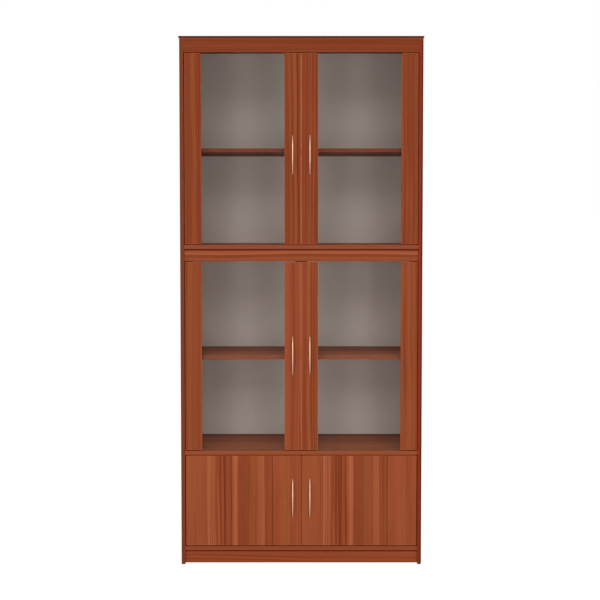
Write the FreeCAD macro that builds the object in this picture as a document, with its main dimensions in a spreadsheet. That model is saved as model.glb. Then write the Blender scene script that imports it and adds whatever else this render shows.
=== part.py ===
import FreeCAD, Part
import os
import Sketcher
from FreeCAD import Rotation, Vector

# A tall bookcase: a carcass of thin boards with two pairs of glazed doors above a pair of wooden ones.
# Millimetres, +Z up, front towards -Y, origin under the middle of the bounding box.

# Lengths below this count as none.
TOUCHING = 1e-6

# Pin holes in one row: the one in use, one above it and one below.
PIN_HOLES = 3

# Driving sizes: alias, value and what it measures.
SIZES = (
    ("case_width", 914, "over the two side panels"),
    ("case_depth", 400, "depth of the side panels"),
    ("case_height", 2000, "floor to the top"),
    ("board", 15, "thickness of sides, panels, plinths, shelves and the middle rail"),
    ("edge_round", 1, "rounding of the banded board edges"),
    ("fit", 0.05, "radial clearance of pins, screws and dowels in their holes"),
    ("end_play", 0.5, "room left at the bottom of a blind hole"),
    ("top_board", 18, "thickness of the top panel"),
    ("top_rail_board", 21, "thickness of the rail below the top panel"),
    ("lip_thickness", 6, "overhanging lip round the top of the top panel"),
    ("top_overhang", 3, "lip past each side"),
    ("top_lip", 2, "lip past the front"),
    ("foot_height", 5, "side panels above the floor"),
    ("foot_length", 50, "glide foot along the side panel"),
    ("foot_margin", 0.5, "side panel past the glide foot, front and sides"),
    ("foot_round", 1.5, "lower edges of the glide foot"),
    ("nail_radius", 1.5, "nail of the glide foot"),
    ("nail_length", 8, "nail up into the side panel"),
    ("nail_inset", 12, "nail from the end of the foot"),
    ("plinth_height", 49, "plinth below the bottom panel"),
    ("plinth_recess", 7, "plinth behind the front plane"),
    ("cupboard_opening", 352, "clear height behind the wooden doors"),
    ("middle_rail", 46, "height of the rail between the glazed pairs"),
    ("top_rail", 41, "height of the rail below the top panel"),
    ("panel_recess", 2, "panel edges behind the front plane"),
    ("back_thickness", 5, "back panels"),
    ("back_inset", 10, "back panels in from the rear edges"),
    ("back_groove", 6, "depth of the groove in the sides"),
    ("back_play", 0.1, "play of the back panels in their grooves and at their seam"),
    ("shelf_setback", 42, "shelf front edges behind the front plane"),
    ("shelf_play", 1, "shelf to the sides and the back"),
    ("upper_shelf_rise", 350, "upper shelf above the middle panel"),
    ("lower_shelf_rise", 346, "lower shelf above the lower panel"),
    ("pin_radius", 2.5, "stem of a shelf pin"),
    ("pin_depth", 9, "stem in the side panel"),
    ("pin_head_radius", 3.5, "head of a shelf pin"),
    ("pin_head", 9, "head out of the side panel"),
    ("pin_flat", 2.5, "flat that carries the shelf, above the pin's axis"),
    ("pin_inset", 37, "pins from the shelf's front edge and the back"),
    ("pin_pitch", 32, "step between the pin holes"),
    ("door_gap", 3, "round and between the doors"),
    ("door_recess", 3, "door faces behind the front plane"),
    ("door_thickness", 18, "stiles and wooden doors"),
    ("stile_width", 62, "stiles of the glazed doors"),
    ("glass_thickness", 5, "glass panes"),
    ("glass_groove", 10, "depth of the groove in a stile"),
    ("glass_play", 0.1, "glass in its groove, each side"),
    ("glass_edge", 1, "bond at the bottom of the groove, and glass short of the stile ends"),
    ("pivot_inset", 22, "hinge axis from the door's outer edge"),
    ("pivot_setback", 10.5, "hinge axis behind the door's face"),
    ("pivot_radius", 2.5, "hinge pin"),
    ("pivot_root", 12, "hinge pin in the stile"),
    ("pivot_collar", 5, "radius of the collar that carries the door"),
    ("pivot_lift", 0.3, "collar above the bush"),
    ("pivot_chamfer", 0.6, "tip of the hinge pin"),
    ("bush_radius", 4, "hinge bush"),
    ("bush_depth", 6, "hinge bush in its board"),
    ("bush_flange_radius", 6, "flange of the bush"),
    ("bush_flange", 1.2, "thickness of the flange"),
    ("handle_length", 147, "bow handle over its feet"),
    ("handle_foot", 16, "each foot on the door"),
    ("handle_standout", 28, "bow in front of the door"),
    ("handle_bar", 5, "thickness of the bow at its middle"),
    ("handle_width", 5, "width of the bow"),
    ("handle_edge", 1.6, "rounding along the bow"),
    ("upper_handle_rise", 336, "upper handles above their door's lower end"),
    ("lower_handle_rise", 360, "lower handles above their door's lower end"),
    ("cupboard_handle_rise", 181, "cupboard handles above their door's lower end"),
    ("screw_inset", 9.5, "handle screw from the end of the handle"),
    ("screw_radius", 1.5, "handle screw"),
    ("screw_reach", 5, "handle screw in the handle's foot"),
    ("screw_head_radius", 3, "head on the door's rear face"),
    ("screw_head", 2, "height of the head"),
    ("catch_gap", 0.5, "closed door to the catch"),
    ("catch_width", 46, "magnetic catch along the rail"),
    ("catch_nose", 14, "catch below its rail, and its depth"),
    ("catch_flange", 4, "thickness of the catch's fixing flange"),
    ("catch_reach", 18, "length of the fixing flange"),
    ("catch_round", 1, "edges of the catch"),
    ("strike_width", 18, "strike plate along the door's top"),
    ("strike_height", 9, "strike plate down the door"),
    ("strike_thickness", 1.2, "strike plate"),
    ("strike_proud", 0.2, "strike plate out of its pocket"),
    ("strike_margin", 2, "strike plate from the door's edges"),
    ("strike_hole", 1.6, "radius of the hole for its screw"),
    ("cam_radius", 7.4, "cam lock"),
    ("cam_play", 0.1, "cam in its pocket"),
    ("cam_depth", 11.5, "cam in its board"),
    ("cam_setback", 24, "cam's axis from the end of its board"),
    ("cam_inset", 60, "cams from the front edge and from the back"),
    ("cam_slot_width", 1.2, "driver slot"),
    ("cam_slot_length", 9, "driver slot"),
    ("cam_slot_depth", 2, "driver slot"),
    ("bolt_thread", 2.9, "radius of the cam bolt's thread"),
    ("bolt_depth", 10, "thread in its board"),
    ("bolt_shank", 2.4, "radius of the bolt's shank"),
    ("bolt_head_radius", 3.3, "head in the cam"),
    ("bolt_head", 5, "length of the head"),
    ("bolt_play", 0.2, "bolt in its bore and in the cam"),
    ("dowel_radius", 4, "dowels of rails and plinths"),
    ("dowel_length", 28, "dowel"),
    ("dowel_root", 9, "dowel in the side panel"),
    ("dowel_spacing", 20, "between the two dowels of an end"),
    ("dowel_chamfer", 0.8, "ends of the dowel"),
)

# Places worked out from the driving sizes: heights from the floor, depths from the front plane.
LAYOUT = (
    ("front", "-(sizes.case_depth - sizes.handle_standout + sizes.door_recess) / 2"),
    ("inner", "sizes.case_width / 2 - sizes.board"),
    ("back_face", "sizes.case_depth - sizes.back_inset - sizes.back_thickness"),
    ("rail_rear", "sizes.door_recess + sizes.door_thickness + sizes.catch_gap"),
    ("top_rail_recess", "layout.rail_rear - sizes.top_rail_board"),
    ("middle_rail_recess", "layout.rail_rear - sizes.board"),
    ("bottom_low", "sizes.foot_height + sizes.plinth_height"),
    ("bottom_top", "layout.bottom_low + sizes.board"),
    ("lower_low", "layout.bottom_top + sizes.cupboard_opening"),
    ("lower_top", "layout.lower_low + sizes.board"),
    ("top_low", "sizes.case_height - sizes.top_board"),
    ("top_rail_low", "layout.top_low - sizes.top_rail"),
    ("glazed_opening", "(layout.top_rail_low - sizes.middle_rail - sizes.board - layout.lower_top) / 2"),
    ("middle_rail_low", "layout.lower_top + layout.glazed_opening"),
    ("middle_low", "layout.middle_rail_low + sizes.middle_rail"),
    ("middle_top", "layout.middle_low + sizes.board"),
    ("seam", "layout.middle_low + sizes.board / 2"),
    ("upper_shelf", "layout.middle_top + sizes.upper_shelf_rise"),
    ("lower_shelf", "layout.lower_top + sizes.lower_shelf_rise"),
    ("pin_front", "sizes.shelf_setback + sizes.pin_inset"),
    ("pin_rear", "layout.back_face - sizes.pin_inset"),
    ("cam_front", "sizes.panel_recess + sizes.cam_inset"),
    ("cam_rear", "layout.back_face - sizes.cam_inset"),
    ("top_rail_middle", "layout.rail_rear - sizes.top_rail_board / 2"),
    ("middle_rail_middle", "layout.rail_rear - sizes.board / 2"),
    ("plinth_middle", "sizes.plinth_recess + sizes.board / 2"),
    ("rear_plinth", "layout.back_face - sizes.board"),
    ("rear_plinth_middle", "layout.rear_plinth + sizes.board / 2"),
    ("rear_foot", "sizes.case_depth - sizes.foot_margin - sizes.foot_length"),
    ("bolt_bore", "sizes.bolt_head_radius + sizes.bolt_play"),
    ("door_front", "layout.front + sizes.door_recess"),
    ("door_width", "layout.inner - sizes.door_gap - sizes.door_gap / 2"),
    ("door_left", "-layout.inner + sizes.door_gap"),
    ("pull_left", "-sizes.door_gap / 2 - sizes.stile_width"),
    ("hinge_x", "layout.door_left + sizes.pivot_inset"),
    ("hinge_y", "layout.door_front + sizes.pivot_setback"),
    ("handle_x", "-(sizes.door_gap + sizes.stile_width) / 2"),
    ("screw_spacing", "sizes.handle_length - 2 * sizes.screw_inset"),
    ("glass_setback", "(sizes.door_thickness - sizes.glass_thickness) / 2"),
)

# Each pair of doors: name, lower end, height, and the height of the handle's middle above the lower end.
GLAZED_HEIGHT = "layout.glazed_opening - 2 * sizes.door_gap"
DOOR_ROWS = (
    ("upper", "layout.middle_top + sizes.door_gap", GLAZED_HEIGHT, "sizes.upper_handle_rise"),
    ("lower", "layout.lower_top + sizes.door_gap", GLAZED_HEIGHT, "sizes.lower_handle_rise"),
    ("cupboard", "layout.bottom_top + sizes.door_gap", "sizes.cupboard_opening - 2 * sizes.door_gap",
     "sizes.cupboard_handle_rise"),
)

# Boards that carry a hinge bush, with the face that holds it.
BUSHES_FACING_UP = ("layout.bottom_top", "layout.lower_top", "layout.middle_top")
BUSHES_FACING_DOWN = ("layout.lower_low", "layout.middle_rail_low", "layout.top_rail_low")

# Panels held by cams, and the ends of the rails and plinths held by dowels: depth and middle height.
CAM_PANELS = ("layout.bottom_low", "layout.lower_low", "layout.middle_low")
CAM_DEPTHS = ("layout.cam_front", "layout.cam_rear")
DOWEL_ENDS = (
    ("layout.top_rail_middle", "layout.top_rail_low + sizes.top_rail / 2"),
    ("layout.middle_rail_middle", "layout.middle_rail_low + sizes.middle_rail / 2"),
    ("layout.plinth_middle", "sizes.foot_height + sizes.plinth_height / 2"),
    ("layout.rear_plinth_middle", "sizes.foot_height + sizes.plinth_height / 2"),
)

UPRIGHT = Rotation()
HALF_TURN = Rotation(Vector(0, 0, 1), 180)
UPSIDE_DOWN = Rotation(Vector(1, 0, 0), 180)
POINTING_DOWN = Rotation(Vector(0, 1, 0), 90)
FACING_RIGHT = Rotation(Vector(1, 0, -1), 180)

doc = FreeCAD.newDocument("bookcase")
nodes = []


# Document, sketches and features

def make_sizes():
    """The spreadsheet of driving sizes and the places worked out from them."""
    sheet = doc.addObject("Spreadsheet::Sheet", "sizes")
    for row, (alias, value, note) in enumerate(SIZES, start=1):
        sheet.set(f"A{row}", alias)
        sheet.set(f"B{row}", str(value))
        sheet.setAlias(f"B{row}", alias)
        sheet.set(f"C{row}", note)
    layout = doc.addObject("App::VarSet", "layout")
    for name, formula in LAYOUT:
        layout.addProperty("App::PropertyFloat", name, "Layout")
        layout.setExpression(name, formula)
    doc.recompute()


def place(thing, x, y, z, turn=UPRIGHT):
    """Turn a piece and tie its origin to three formulas."""
    thing.Placement.Rotation = turn
    for axis, formula in zip("xyz", (x, y, z)):
        thing.setExpression(f"Placement.Base.{axis}", formula)


def new_body(label, x="0", y="0", z="0"):
    """An empty body at its place."""
    body = doc.addObject("PartDesign::Body", label)
    body.Label = label
    place(body, x, y, z)
    return body


def new_sketch(body, role, offset="0"):
    """A sketch on one of the body's own origin planes, moved along the plane's normal."""
    sketch = body.newObject("Sketcher::SketchObject", f"{body.Label}_sketch")
    plane = next(feature for feature in body.Origin.OriginFeatures if feature.Role == role)
    sketch.AttachmentSupport = [(plane, "")]
    sketch.MapMode = "FlatFace"
    sketch.setExpression("AttachmentOffset.Base.z", offset)
    return sketch


def dimension(sketch, kind, places, formula, start=1.0):
    """One dimension of a sketch, tied to a formula."""
    number = sketch.addConstraint(Sketcher.Constraint(kind, *places, start))
    sketch.setExpression(f"Constraints[{number}]", formula)


def polygon(sketch, corners):
    """A closed outline of straight sides with each corner dimensioned from the sketch's origin."""
    count = len(corners)
    first = sketch.GeometryCount
    ring = [Vector(number, number * number) for number in range(count)]
    for number in range(count):
        sketch.addGeometry(Part.LineSegment(ring[number], ring[(number + 1) % count]), False)
    for number, (x, y) in enumerate(corners):
        side = first + number
        following = first + (number + 1) % count
        sketch.addConstraint(Sketcher.Constraint("Coincident", side, 2, following, 1))
        dimension(sketch, "DistanceX", (-1, 1, side, 1), x)
        dimension(sketch, "DistanceY", (-1, 1, side, 1), y)


def rectangle(sketch, width, height, left="0", low="0"):
    """A rectangle from its lower left corner."""
    right = f"{left} + {width}"
    high = f"{low} + {height}"
    polygon(sketch, ((left, low), (right, low), (right, high), (left, high)))


def circle(sketch, radius, x, y):
    """A circle with its centre dimensioned from the sketch's origin."""
    number = sketch.addGeometry(Part.Circle(Vector(1, 1), Vector(0, 0, 1), 1), False)
    dimension(sketch, "Radius", (number,), radius)
    dimension(sketch, "DistanceX", (-1, 1, number, 3), x)
    dimension(sketch, "DistanceY", (-1, 1, number, 3), y)


def pad(body, sketch, length):
    """Material along the sketch's normal."""
    feature = body.newObject("PartDesign::Pad", f"{body.Label}_pad")
    feature.Profile = sketch
    feature.setExpression("Length", length)
    doc.recompute()
    return feature


def pocket(body, sketch, length, along_normal=False):
    """A cut against the sketch's normal, or along it, that has to take material away."""
    before = body.Shape.Volume
    feature = body.newObject("PartDesign::Pocket", f"{body.Label}_pocket")
    feature.Profile = sketch
    feature.Reversed = along_normal
    feature.setExpression("Length", length)
    doc.recompute()
    if body.Shape.Volume >= before:
        raise ValueError(f"a pocket of {body.Label} cuts nothing")
    return feature


def revolve(body, sketch, axis):
    """A full turn of the sketch about its own horizontal or vertical axis."""
    feature = body.newObject("PartDesign::Revolution", f"{body.Label}_turned")
    feature.Profile = sketch
    feature.ReferenceAxis = (sketch, [axis])
    feature.Angle = 360
    doc.recompute()
    return feature


def round_edges(body, base, radius, wanted):
    """A fillet on the edges of the base feature that the test picks out."""
    names = [f"Edge{number}" for number, edge in enumerate(base.Shape.Edges, start=1) if wanted(edge)]
    feature = body.newObject("PartDesign::Fillet", f"{body.Label}_rounding")
    feature.Base = (base, names)
    feature.setExpression("Radius", radius)
    doc.recompute()
    return feature


def in_front(edge):
    """True for an edge that lies in the body's front plane."""
    return abs(edge.BoundBox.YMin) < TOUCHING and abs(edge.BoundBox.YMax) < TOUCHING


def upright_in_front(edge):
    """True for a vertical edge in the body's front plane."""
    return in_front(edge) and edge.BoundBox.ZLength > 1


def level_in_front(edge):
    """True for a horizontal edge in the body's front plane."""
    return in_front(edge) and edge.BoundBox.ZLength < TOUCHING


def keep(thing):
    """Count a finished object among the nodes that are written."""
    nodes.append(thing)
    return thing


def mirrored(label, source):
    """The right-hand twin of a left-hand piece."""
    twin = doc.addObject("Part::Mirroring", label)
    twin.Label = label
    twin.Source = source
    twin.Normal = (1, 0, 0)
    return keep(twin)


def group(label, members):
    """One node of like pieces: members give the pattern piece, its place and its turn."""
    links = []
    for pattern, x, y, z, turn in members:
        link = doc.addObject("App::Link", f"{label}_member")
        link.LinkedObject = pattern
        place(link, x, y, z, turn)
        links.append(link)
    node = doc.addObject("Part::Compound", label)
    node.Label = label
    node.Links = links
    doc.recompute()
    return keep(node)


# Carcass

def side_panel():
    """Left side: grooved for the back, bored for shelf pins, cam bolts, dowels, cams and foot nails."""
    body = new_body("left_side_panel", "-sizes.case_width / 2", "layout.front", "sizes.foot_height")
    height = "(layout.top_low - sizes.foot_height)"
    blank = new_sketch(body, "XY_Plane")
    rectangle(blank, "sizes.board", "sizes.case_depth")
    board = pad(body, blank, height)
    round_edges(body, board, "sizes.edge_round", upright_in_front)

    groove = new_sketch(body, "XY_Plane")
    rectangle(groove, "sizes.back_groove", "sizes.back_thickness + 2 * sizes.back_play",
              "sizes.board - sizes.back_groove", "layout.back_face - sizes.back_play")
    pocket(body, groove, height, along_normal=True)

    bolts = new_sketch(body, "YZ_Plane", "sizes.board")
    for low in CAM_PANELS:
        for depth in CAM_DEPTHS:
            rise = f"{low} + sizes.board / 2 - sizes.foot_height"
            circle(bolts, "sizes.bolt_thread + sizes.fit", depth, rise)
    pocket(body, bolts, "sizes.bolt_depth + sizes.end_play")

    dowels = new_sketch(body, "YZ_Plane", "sizes.board")
    for depth, middle in DOWEL_ENDS:
        for step in ("-", "+"):
            rise = f"{middle} {step} sizes.dowel_spacing / 2 - sizes.foot_height"
            circle(dowels, "sizes.dowel_radius + sizes.fit", depth, rise)
    pocket(body, dowels, "sizes.dowel_root + sizes.end_play")

    cams = new_sketch(body, "YZ_Plane", "sizes.board")
    bores = new_sketch(body, "XY_Plane", height)
    for depth in CAM_DEPTHS:
        circle(cams, "sizes.cam_radius + sizes.cam_play", depth, f"{height} - sizes.cam_setback")
        circle(bores, "layout.bolt_bore", "sizes.board / 2", depth)
    pocket(body, cams, "sizes.cam_depth + sizes.end_play")
    pocket(body, bores, "sizes.cam_setback")

    nails = new_sketch(body, "XY_Plane")
    for foot in ("sizes.foot_margin", "layout.rear_foot"):
        for along in ("sizes.nail_inset", "sizes.foot_length - sizes.nail_inset"):
            circle(nails, "sizes.nail_radius + sizes.fit", "sizes.board / 2", f"{foot} + {along}")
    pocket(body, nails, "sizes.nail_length + sizes.end_play", along_normal=True)

    pins = new_sketch(body, "YZ_Plane", "sizes.board")
    for shelf in ("layout.upper_shelf", "layout.lower_shelf"):
        for depth in ("layout.pin_front", "layout.pin_rear"):
            lowest = f"{shelf} - sizes.pin_flat - sizes.pin_pitch - sizes.foot_height"
            circle(pins, "sizes.pin_radius + sizes.fit", depth, lowest)
    holes = pocket(body, pins, "sizes.pin_depth + sizes.end_play")
    rows = body.newObject("PartDesign::LinearPattern", "pin_hole_rows")
    rows.Originals = [holes]
    rows.Direction = (pins, ["V_Axis"])
    rows.Occurrences = PIN_HOLES
    rows.setExpression("Length", f"{PIN_HOLES - 1} * sizes.pin_pitch")
    body.Tip = rows
    doc.recompute()
    return keep(body)


def top_panel():
    """Top: lies on the sides with a thin lip past them and the front, bored below for the cam bolts."""
    left = "(sizes.case_width / 2 + sizes.top_overhang)"
    body = new_body("top_panel", f"-{left}", "layout.front - sizes.top_lip", "layout.top_low")
    blank = new_sketch(body, "XY_Plane")
    rectangle(blank, "sizes.case_width", "sizes.case_depth", "sizes.top_overhang", "sizes.top_lip")
    pad(body, blank, "sizes.top_board")
    rim = new_sketch(body, "XY_Plane", "sizes.top_board - sizes.lip_thickness")
    rectangle(rim, f"2 * {left}", "sizes.case_depth + sizes.top_lip")
    board = pad(body, rim, "sizes.lip_thickness")

    def shown(edge):
        """True for the edges of the lip in front and at the two ends, but not at the rear."""
        return edge.BoundBox.YMin < TOUCHING

    round_edges(body, board, "sizes.edge_round", shown)
    bolts = new_sketch(body, "XY_Plane")
    near = "(sizes.top_overhang + sizes.board / 2)"
    for across in (near, f"2 * {left} - {near}"):
        for depth in CAM_DEPTHS:
            circle(bolts, "sizes.bolt_thread + sizes.fit", across, f"sizes.top_lip + {depth}")
    pocket(body, bolts, "sizes.bolt_depth + sizes.end_play", along_normal=True)
    return keep(body)


def end_bores(body, radius, places, length):
    """Round bores into both ends of a board, from (depth, height) places."""
    for offset, inwards in (("0", True), ("2 * layout.inner", False)):
        ends = new_sketch(body, "YZ_Plane", offset)
        for depth, rise in places:
            circle(ends, radius, depth, rise)
        pocket(body, ends, length, along_normal=inwards)


def bush_holes(body, recess, offset, upwards):
    """Seats for the two hinge bushes in the upper or lower face of a board."""
    seats = new_sketch(body, "XY_Plane", offset)
    left = "sizes.door_gap + sizes.pivot_inset"
    for across in (left, f"2 * layout.inner - ({left})"):
        circle(seats, "sizes.bush_radius + sizes.fit", across, f"layout.hinge_y - layout.front - {recess}")
    pocket(body, seats, "sizes.bush_depth + sizes.end_play", along_normal=upwards)


def panel(label, low, doors_above, doors_below):
    """A fixed panel between the sides, with its cams in the underside."""
    body = new_body(label, "-layout.inner", "layout.front + sizes.panel_recess", low)
    blank = new_sketch(body, "XY_Plane")
    rectangle(blank, "2 * layout.inner", "layout.back_face - sizes.panel_recess")
    board = pad(body, blank, "sizes.board")
    round_edges(body, board, "sizes.edge_round", level_in_front)
    cams = new_sketch(body, "XY_Plane")
    for depth in CAM_DEPTHS:
        for across in ("sizes.cam_setback", "2 * layout.inner - sizes.cam_setback"):
            circle(cams, "sizes.cam_radius + sizes.cam_play", across, f"{depth} - sizes.panel_recess")
    pocket(body, cams, "sizes.cam_depth + sizes.end_play", along_normal=True)
    places = [(f"{depth} - sizes.panel_recess", "sizes.board / 2") for depth in CAM_DEPTHS]
    end_bores(body, "layout.bolt_bore", places, "sizes.cam_setback")
    if doors_above:
        bush_holes(body, "sizes.panel_recess", "sizes.board", upwards=False)
    if doors_below:
        bush_holes(body, "sizes.panel_recess", "0", upwards=True)
    return keep(body)


def rail(label, recess, thickness, low, height, doors_below):
    """A rail or plinth on edge between the sides, held by two dowels at each end."""
    body = new_body(label, "-layout.inner", f"layout.front + {recess}", low)
    blank = new_sketch(body, "XY_Plane")
    rectangle(blank, "2 * layout.inner", thickness)
    board = pad(body, blank, height)
    round_edges(body, board, "sizes.edge_round", level_in_front)
    places = [(f"{thickness} / 2", f"({height}) / 2 {step} sizes.dowel_spacing / 2") for step in ("-", "+")]
    end_bores(body, "sizes.dowel_radius + sizes.fit", places,
              "sizes.dowel_length - sizes.dowel_root + sizes.end_play")
    if doors_below:
        bush_holes(body, recess, "0", upwards=True)
    return keep(body)


def back_panel(label, low, high):
    """A thin back panel in the grooves of the sides."""
    half = "(layout.inner + sizes.back_groove - sizes.back_play)"
    body = new_body(label, f"-{half}", "layout.front + layout.back_face", low)
    blank = new_sketch(body, "XY_Plane")
    rectangle(blank, f"2 * {half}", "sizes.back_thickness")
    pad(body, blank, f"{high} - ({low})")
    return keep(body)


def shelf(label, low):
    """A loose shelf on four pins."""
    half = "(layout.inner - sizes.shelf_play)"
    body = new_body(label, f"-{half}", "layout.front + sizes.shelf_setback", low)
    blank = new_sketch(body, "XY_Plane")
    rectangle(blank, f"2 * {half}", "layout.back_face - sizes.shelf_play - sizes.shelf_setback")
    board = pad(body, blank, "sizes.board")
    round_edges(body, board, "sizes.edge_round", level_in_front)
    return keep(body)


def shelf_pins():
    """Round steel pins with a flat on the head that the shelf lies on."""
    pin = new_body("shelf_pin")
    profile = new_sketch(pin, "XZ_Plane")
    polygon(profile, (("-sizes.pin_depth", "0"), ("-sizes.pin_depth", "sizes.pin_radius"),
                      ("0", "sizes.pin_radius"), ("0", "sizes.pin_head_radius"),
                      ("sizes.pin_head", "sizes.pin_head_radius"), ("sizes.pin_head", "0")))
    revolve(pin, profile, "H_Axis")
    flat = new_sketch(pin, "XY_Plane", "sizes.pin_flat")
    rectangle(flat, "sizes.pin_head", "2 * sizes.pin_head_radius", "0", "-sizes.pin_head_radius")
    pocket(pin, flat, "sizes.pin_head_radius", along_normal=True)
    members = []
    for side, turn in (("-", UPRIGHT), ("", HALF_TURN)):
        for low in ("layout.upper_shelf", "layout.lower_shelf"):
            for depth in ("layout.pin_front", "layout.pin_rear"):
                members.append((pin, f"{side}layout.inner", f"layout.front + {depth}",
                                f"{low} - sizes.pin_flat", turn))
    group("shelf_pins", members)


def pivot_bushes():
    """Flanged bushes that the hinge pins turn in."""
    bush = new_body("pivot_bush")
    profile = new_sketch(bush, "XZ_Plane")
    bore = "sizes.pivot_radius + sizes.fit"
    polygon(profile, ((bore, "-sizes.bush_depth"), ("sizes.bush_radius", "-sizes.bush_depth"),
                      ("sizes.bush_radius", "0"), ("sizes.bush_flange_radius", "0"),
                      ("sizes.bush_flange_radius", "sizes.bush_flange"), (bore, "sizes.bush_flange")))
    revolve(bush, profile, "V_Axis")
    members = []
    for heights, turn in ((BUSHES_FACING_UP, UPRIGHT), (BUSHES_FACING_DOWN, UPSIDE_DOWN)):
        for height in heights:
            for side in ("", "-"):
                members.append((bush, f"{side}layout.hinge_x", "layout.hinge_y", height, turn))
    group("pivot_bushes", members)


def glide_feet():
    """Plastic shoes nailed under both ends of the side panels."""
    foot = new_body("glide_foot")
    width = "(sizes.board - 2 * sizes.foot_margin)"
    blank = new_sketch(foot, "XY_Plane")
    rectangle(blank, width, "sizes.foot_length", f"-{width} / 2")
    block = pad(foot, blank, "sizes.foot_height")

    def resting(edge):
        """True for the four edges of the face on the floor."""
        return edge.BoundBox.ZMax < TOUCHING

    round_edges(foot, block, "sizes.foot_round", resting)
    nails = new_sketch(foot, "XY_Plane", "sizes.foot_height")
    for along in ("sizes.nail_inset", "sizes.foot_length - sizes.nail_inset"):
        circle(nails, "sizes.nail_radius", "0", along)
    pad(foot, nails, "sizes.nail_length")
    members = []
    for side in ("-", ""):
        for depth in ("sizes.foot_margin", "layout.rear_foot"):
            across = f"{side}(sizes.case_width - sizes.board) / 2"
            members.append((foot, across, f"layout.front + {depth}", "0", UPRIGHT))
    group("glide_feet", members)


def cam_locks():
    """Slotted cams, open behind for the head of the bolt that they draw in."""
    cam = new_body("cam_lock")
    outline = new_sketch(cam, "XY_Plane")
    circle(outline, "sizes.cam_radius", "0", "0")
    pad(cam, outline, "sizes.cam_depth")
    channel = new_sketch(cam, "XY_Plane", "sizes.board / 2 - layout.bolt_bore")
    rectangle(channel, "2 * sizes.cam_radius", "2 * layout.bolt_bore",
              "layout.bolt_bore - 2 * sizes.cam_radius", "-layout.bolt_bore")
    pocket(cam, channel, "sizes.cam_depth", along_normal=True)
    slot = new_sketch(cam, "XY_Plane")
    rectangle(slot, "sizes.cam_slot_width", "sizes.cam_slot_length", "-sizes.cam_slot_width / 2",
              "-sizes.cam_slot_length / 2")
    pocket(cam, slot, "sizes.cam_slot_depth", along_normal=True)
    members = []
    for depth in CAM_DEPTHS:
        y = f"layout.front + {depth}"
        for low in CAM_PANELS:
            members.append((cam, "-layout.inner + sizes.cam_setback", y, low, UPRIGHT))
            members.append((cam, "layout.inner - sizes.cam_setback", y, low, HALF_TURN))
        members.append((cam, "-layout.inner", y, "layout.top_low - sizes.cam_setback", FACING_RIGHT))
        members.append((cam, "layout.inner", y, "layout.top_low - sizes.cam_setback", POINTING_DOWN))
    group("cam_locks", members)


def cam_bolts():
    """Bolts screwed into the sides and the top, with their heads in the cams."""
    bolt = new_body("cam_bolt")
    profile = new_sketch(bolt, "XZ_Plane")
    tip = "sizes.cam_setback + sizes.bolt_head / 2"
    neck = "sizes.cam_setback - sizes.bolt_head / 2"
    polygon(profile, (("-sizes.bolt_depth", "0"), ("-sizes.bolt_depth", "sizes.bolt_thread"),
                      ("0", "sizes.bolt_thread"), ("0", "sizes.bolt_shank"), (neck, "sizes.bolt_shank"),
                      (neck, "sizes.bolt_head_radius"), (tip, "sizes.bolt_head_radius"), (tip, "0")))
    revolve(bolt, profile, "H_Axis")
    members = []
    for depth in CAM_DEPTHS:
        y = f"layout.front + {depth}"
        for side, turn in (("-", UPRIGHT), ("", HALF_TURN)):
            for low in CAM_PANELS:
                members.append((bolt, f"{side}layout.inner", y, f"{low} + sizes.board / 2", turn))
            members.append((bolt, f"{side}(sizes.case_width - sizes.board) / 2", y, "layout.top_low",
                            POINTING_DOWN))
    group("cam_bolts", members)


def dowels():
    """Beech dowels at the ends of the rails and plinths."""
    dowel = new_body("dowel")
    profile = new_sketch(dowel, "XZ_Plane")
    near = "-sizes.dowel_root"
    far = "sizes.dowel_length - sizes.dowel_root"
    waist = "sizes.dowel_radius - sizes.dowel_chamfer"
    polygon(profile, ((near, "0"), (near, waist), (f"{near} + sizes.dowel_chamfer", "sizes.dowel_radius"),
                      (f"{far} - sizes.dowel_chamfer", "sizes.dowel_radius"), (far, waist), (far, "0")))
    revolve(dowel, profile, "H_Axis")
    members = []
    for depth, middle in DOWEL_ENDS:
        for step in ("-", "+"):
            for side, turn in (("-", UPRIGHT), ("", HALF_TURN)):
                members.append((dowel, f"{side}layout.inner", f"layout.front + {depth}",
                                f"{middle} {step} sizes.dowel_spacing / 2", turn))
    group("dowels", members)


def catch_body(label, corners):
    """A magnetic catch from its side outline, with rounded ends."""
    body = new_body(label)
    outline = new_sketch(body, "YZ_Plane")
    polygon(outline, corners)
    block = pad(body, outline, "sizes.catch_width")

    def end_corner(edge):
        """True for the lower corners of both ends of the nose."""
        flat_end = edge.BoundBox.XLength < TOUCHING
        return flat_end and edge.BoundBox.ZMax < TOUCHING and edge.BoundBox.YLength < TOUCHING

    round_edges(body, block, "sizes.catch_round", end_corner)
    return body


def magnetic_catches():
    """Double catches behind the meeting doors: two on the backs of rails, one under the lower panel."""
    on_rail = catch_body("rail_catch", (
        ("0", "-sizes.catch_nose"), ("sizes.catch_nose", "-sizes.catch_nose"), ("sizes.catch_nose", "0"),
        ("sizes.catch_flange", "0"), ("sizes.catch_flange", "sizes.catch_reach"), ("0", "sizes.catch_reach")))
    tail = "sizes.catch_nose + sizes.catch_reach"
    under_panel = catch_body("panel_catch", (
        ("0", "-sizes.catch_nose"), ("sizes.catch_nose", "-sizes.catch_nose"),
        ("sizes.catch_nose", "-sizes.catch_flange"), (tail, "-sizes.catch_flange"), (tail, "0"), ("0", "0")))
    x = "-sizes.catch_width / 2"
    y = "layout.front + layout.rail_rear"
    group("magnetic_catches", (
        (on_rail, x, y, "layout.top_rail_low", UPRIGHT),
        (on_rail, x, y, "layout.middle_rail_low", UPRIGHT),
        (under_panel, x, y, "layout.lower_low", UPRIGHT)))


# Doors

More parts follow.
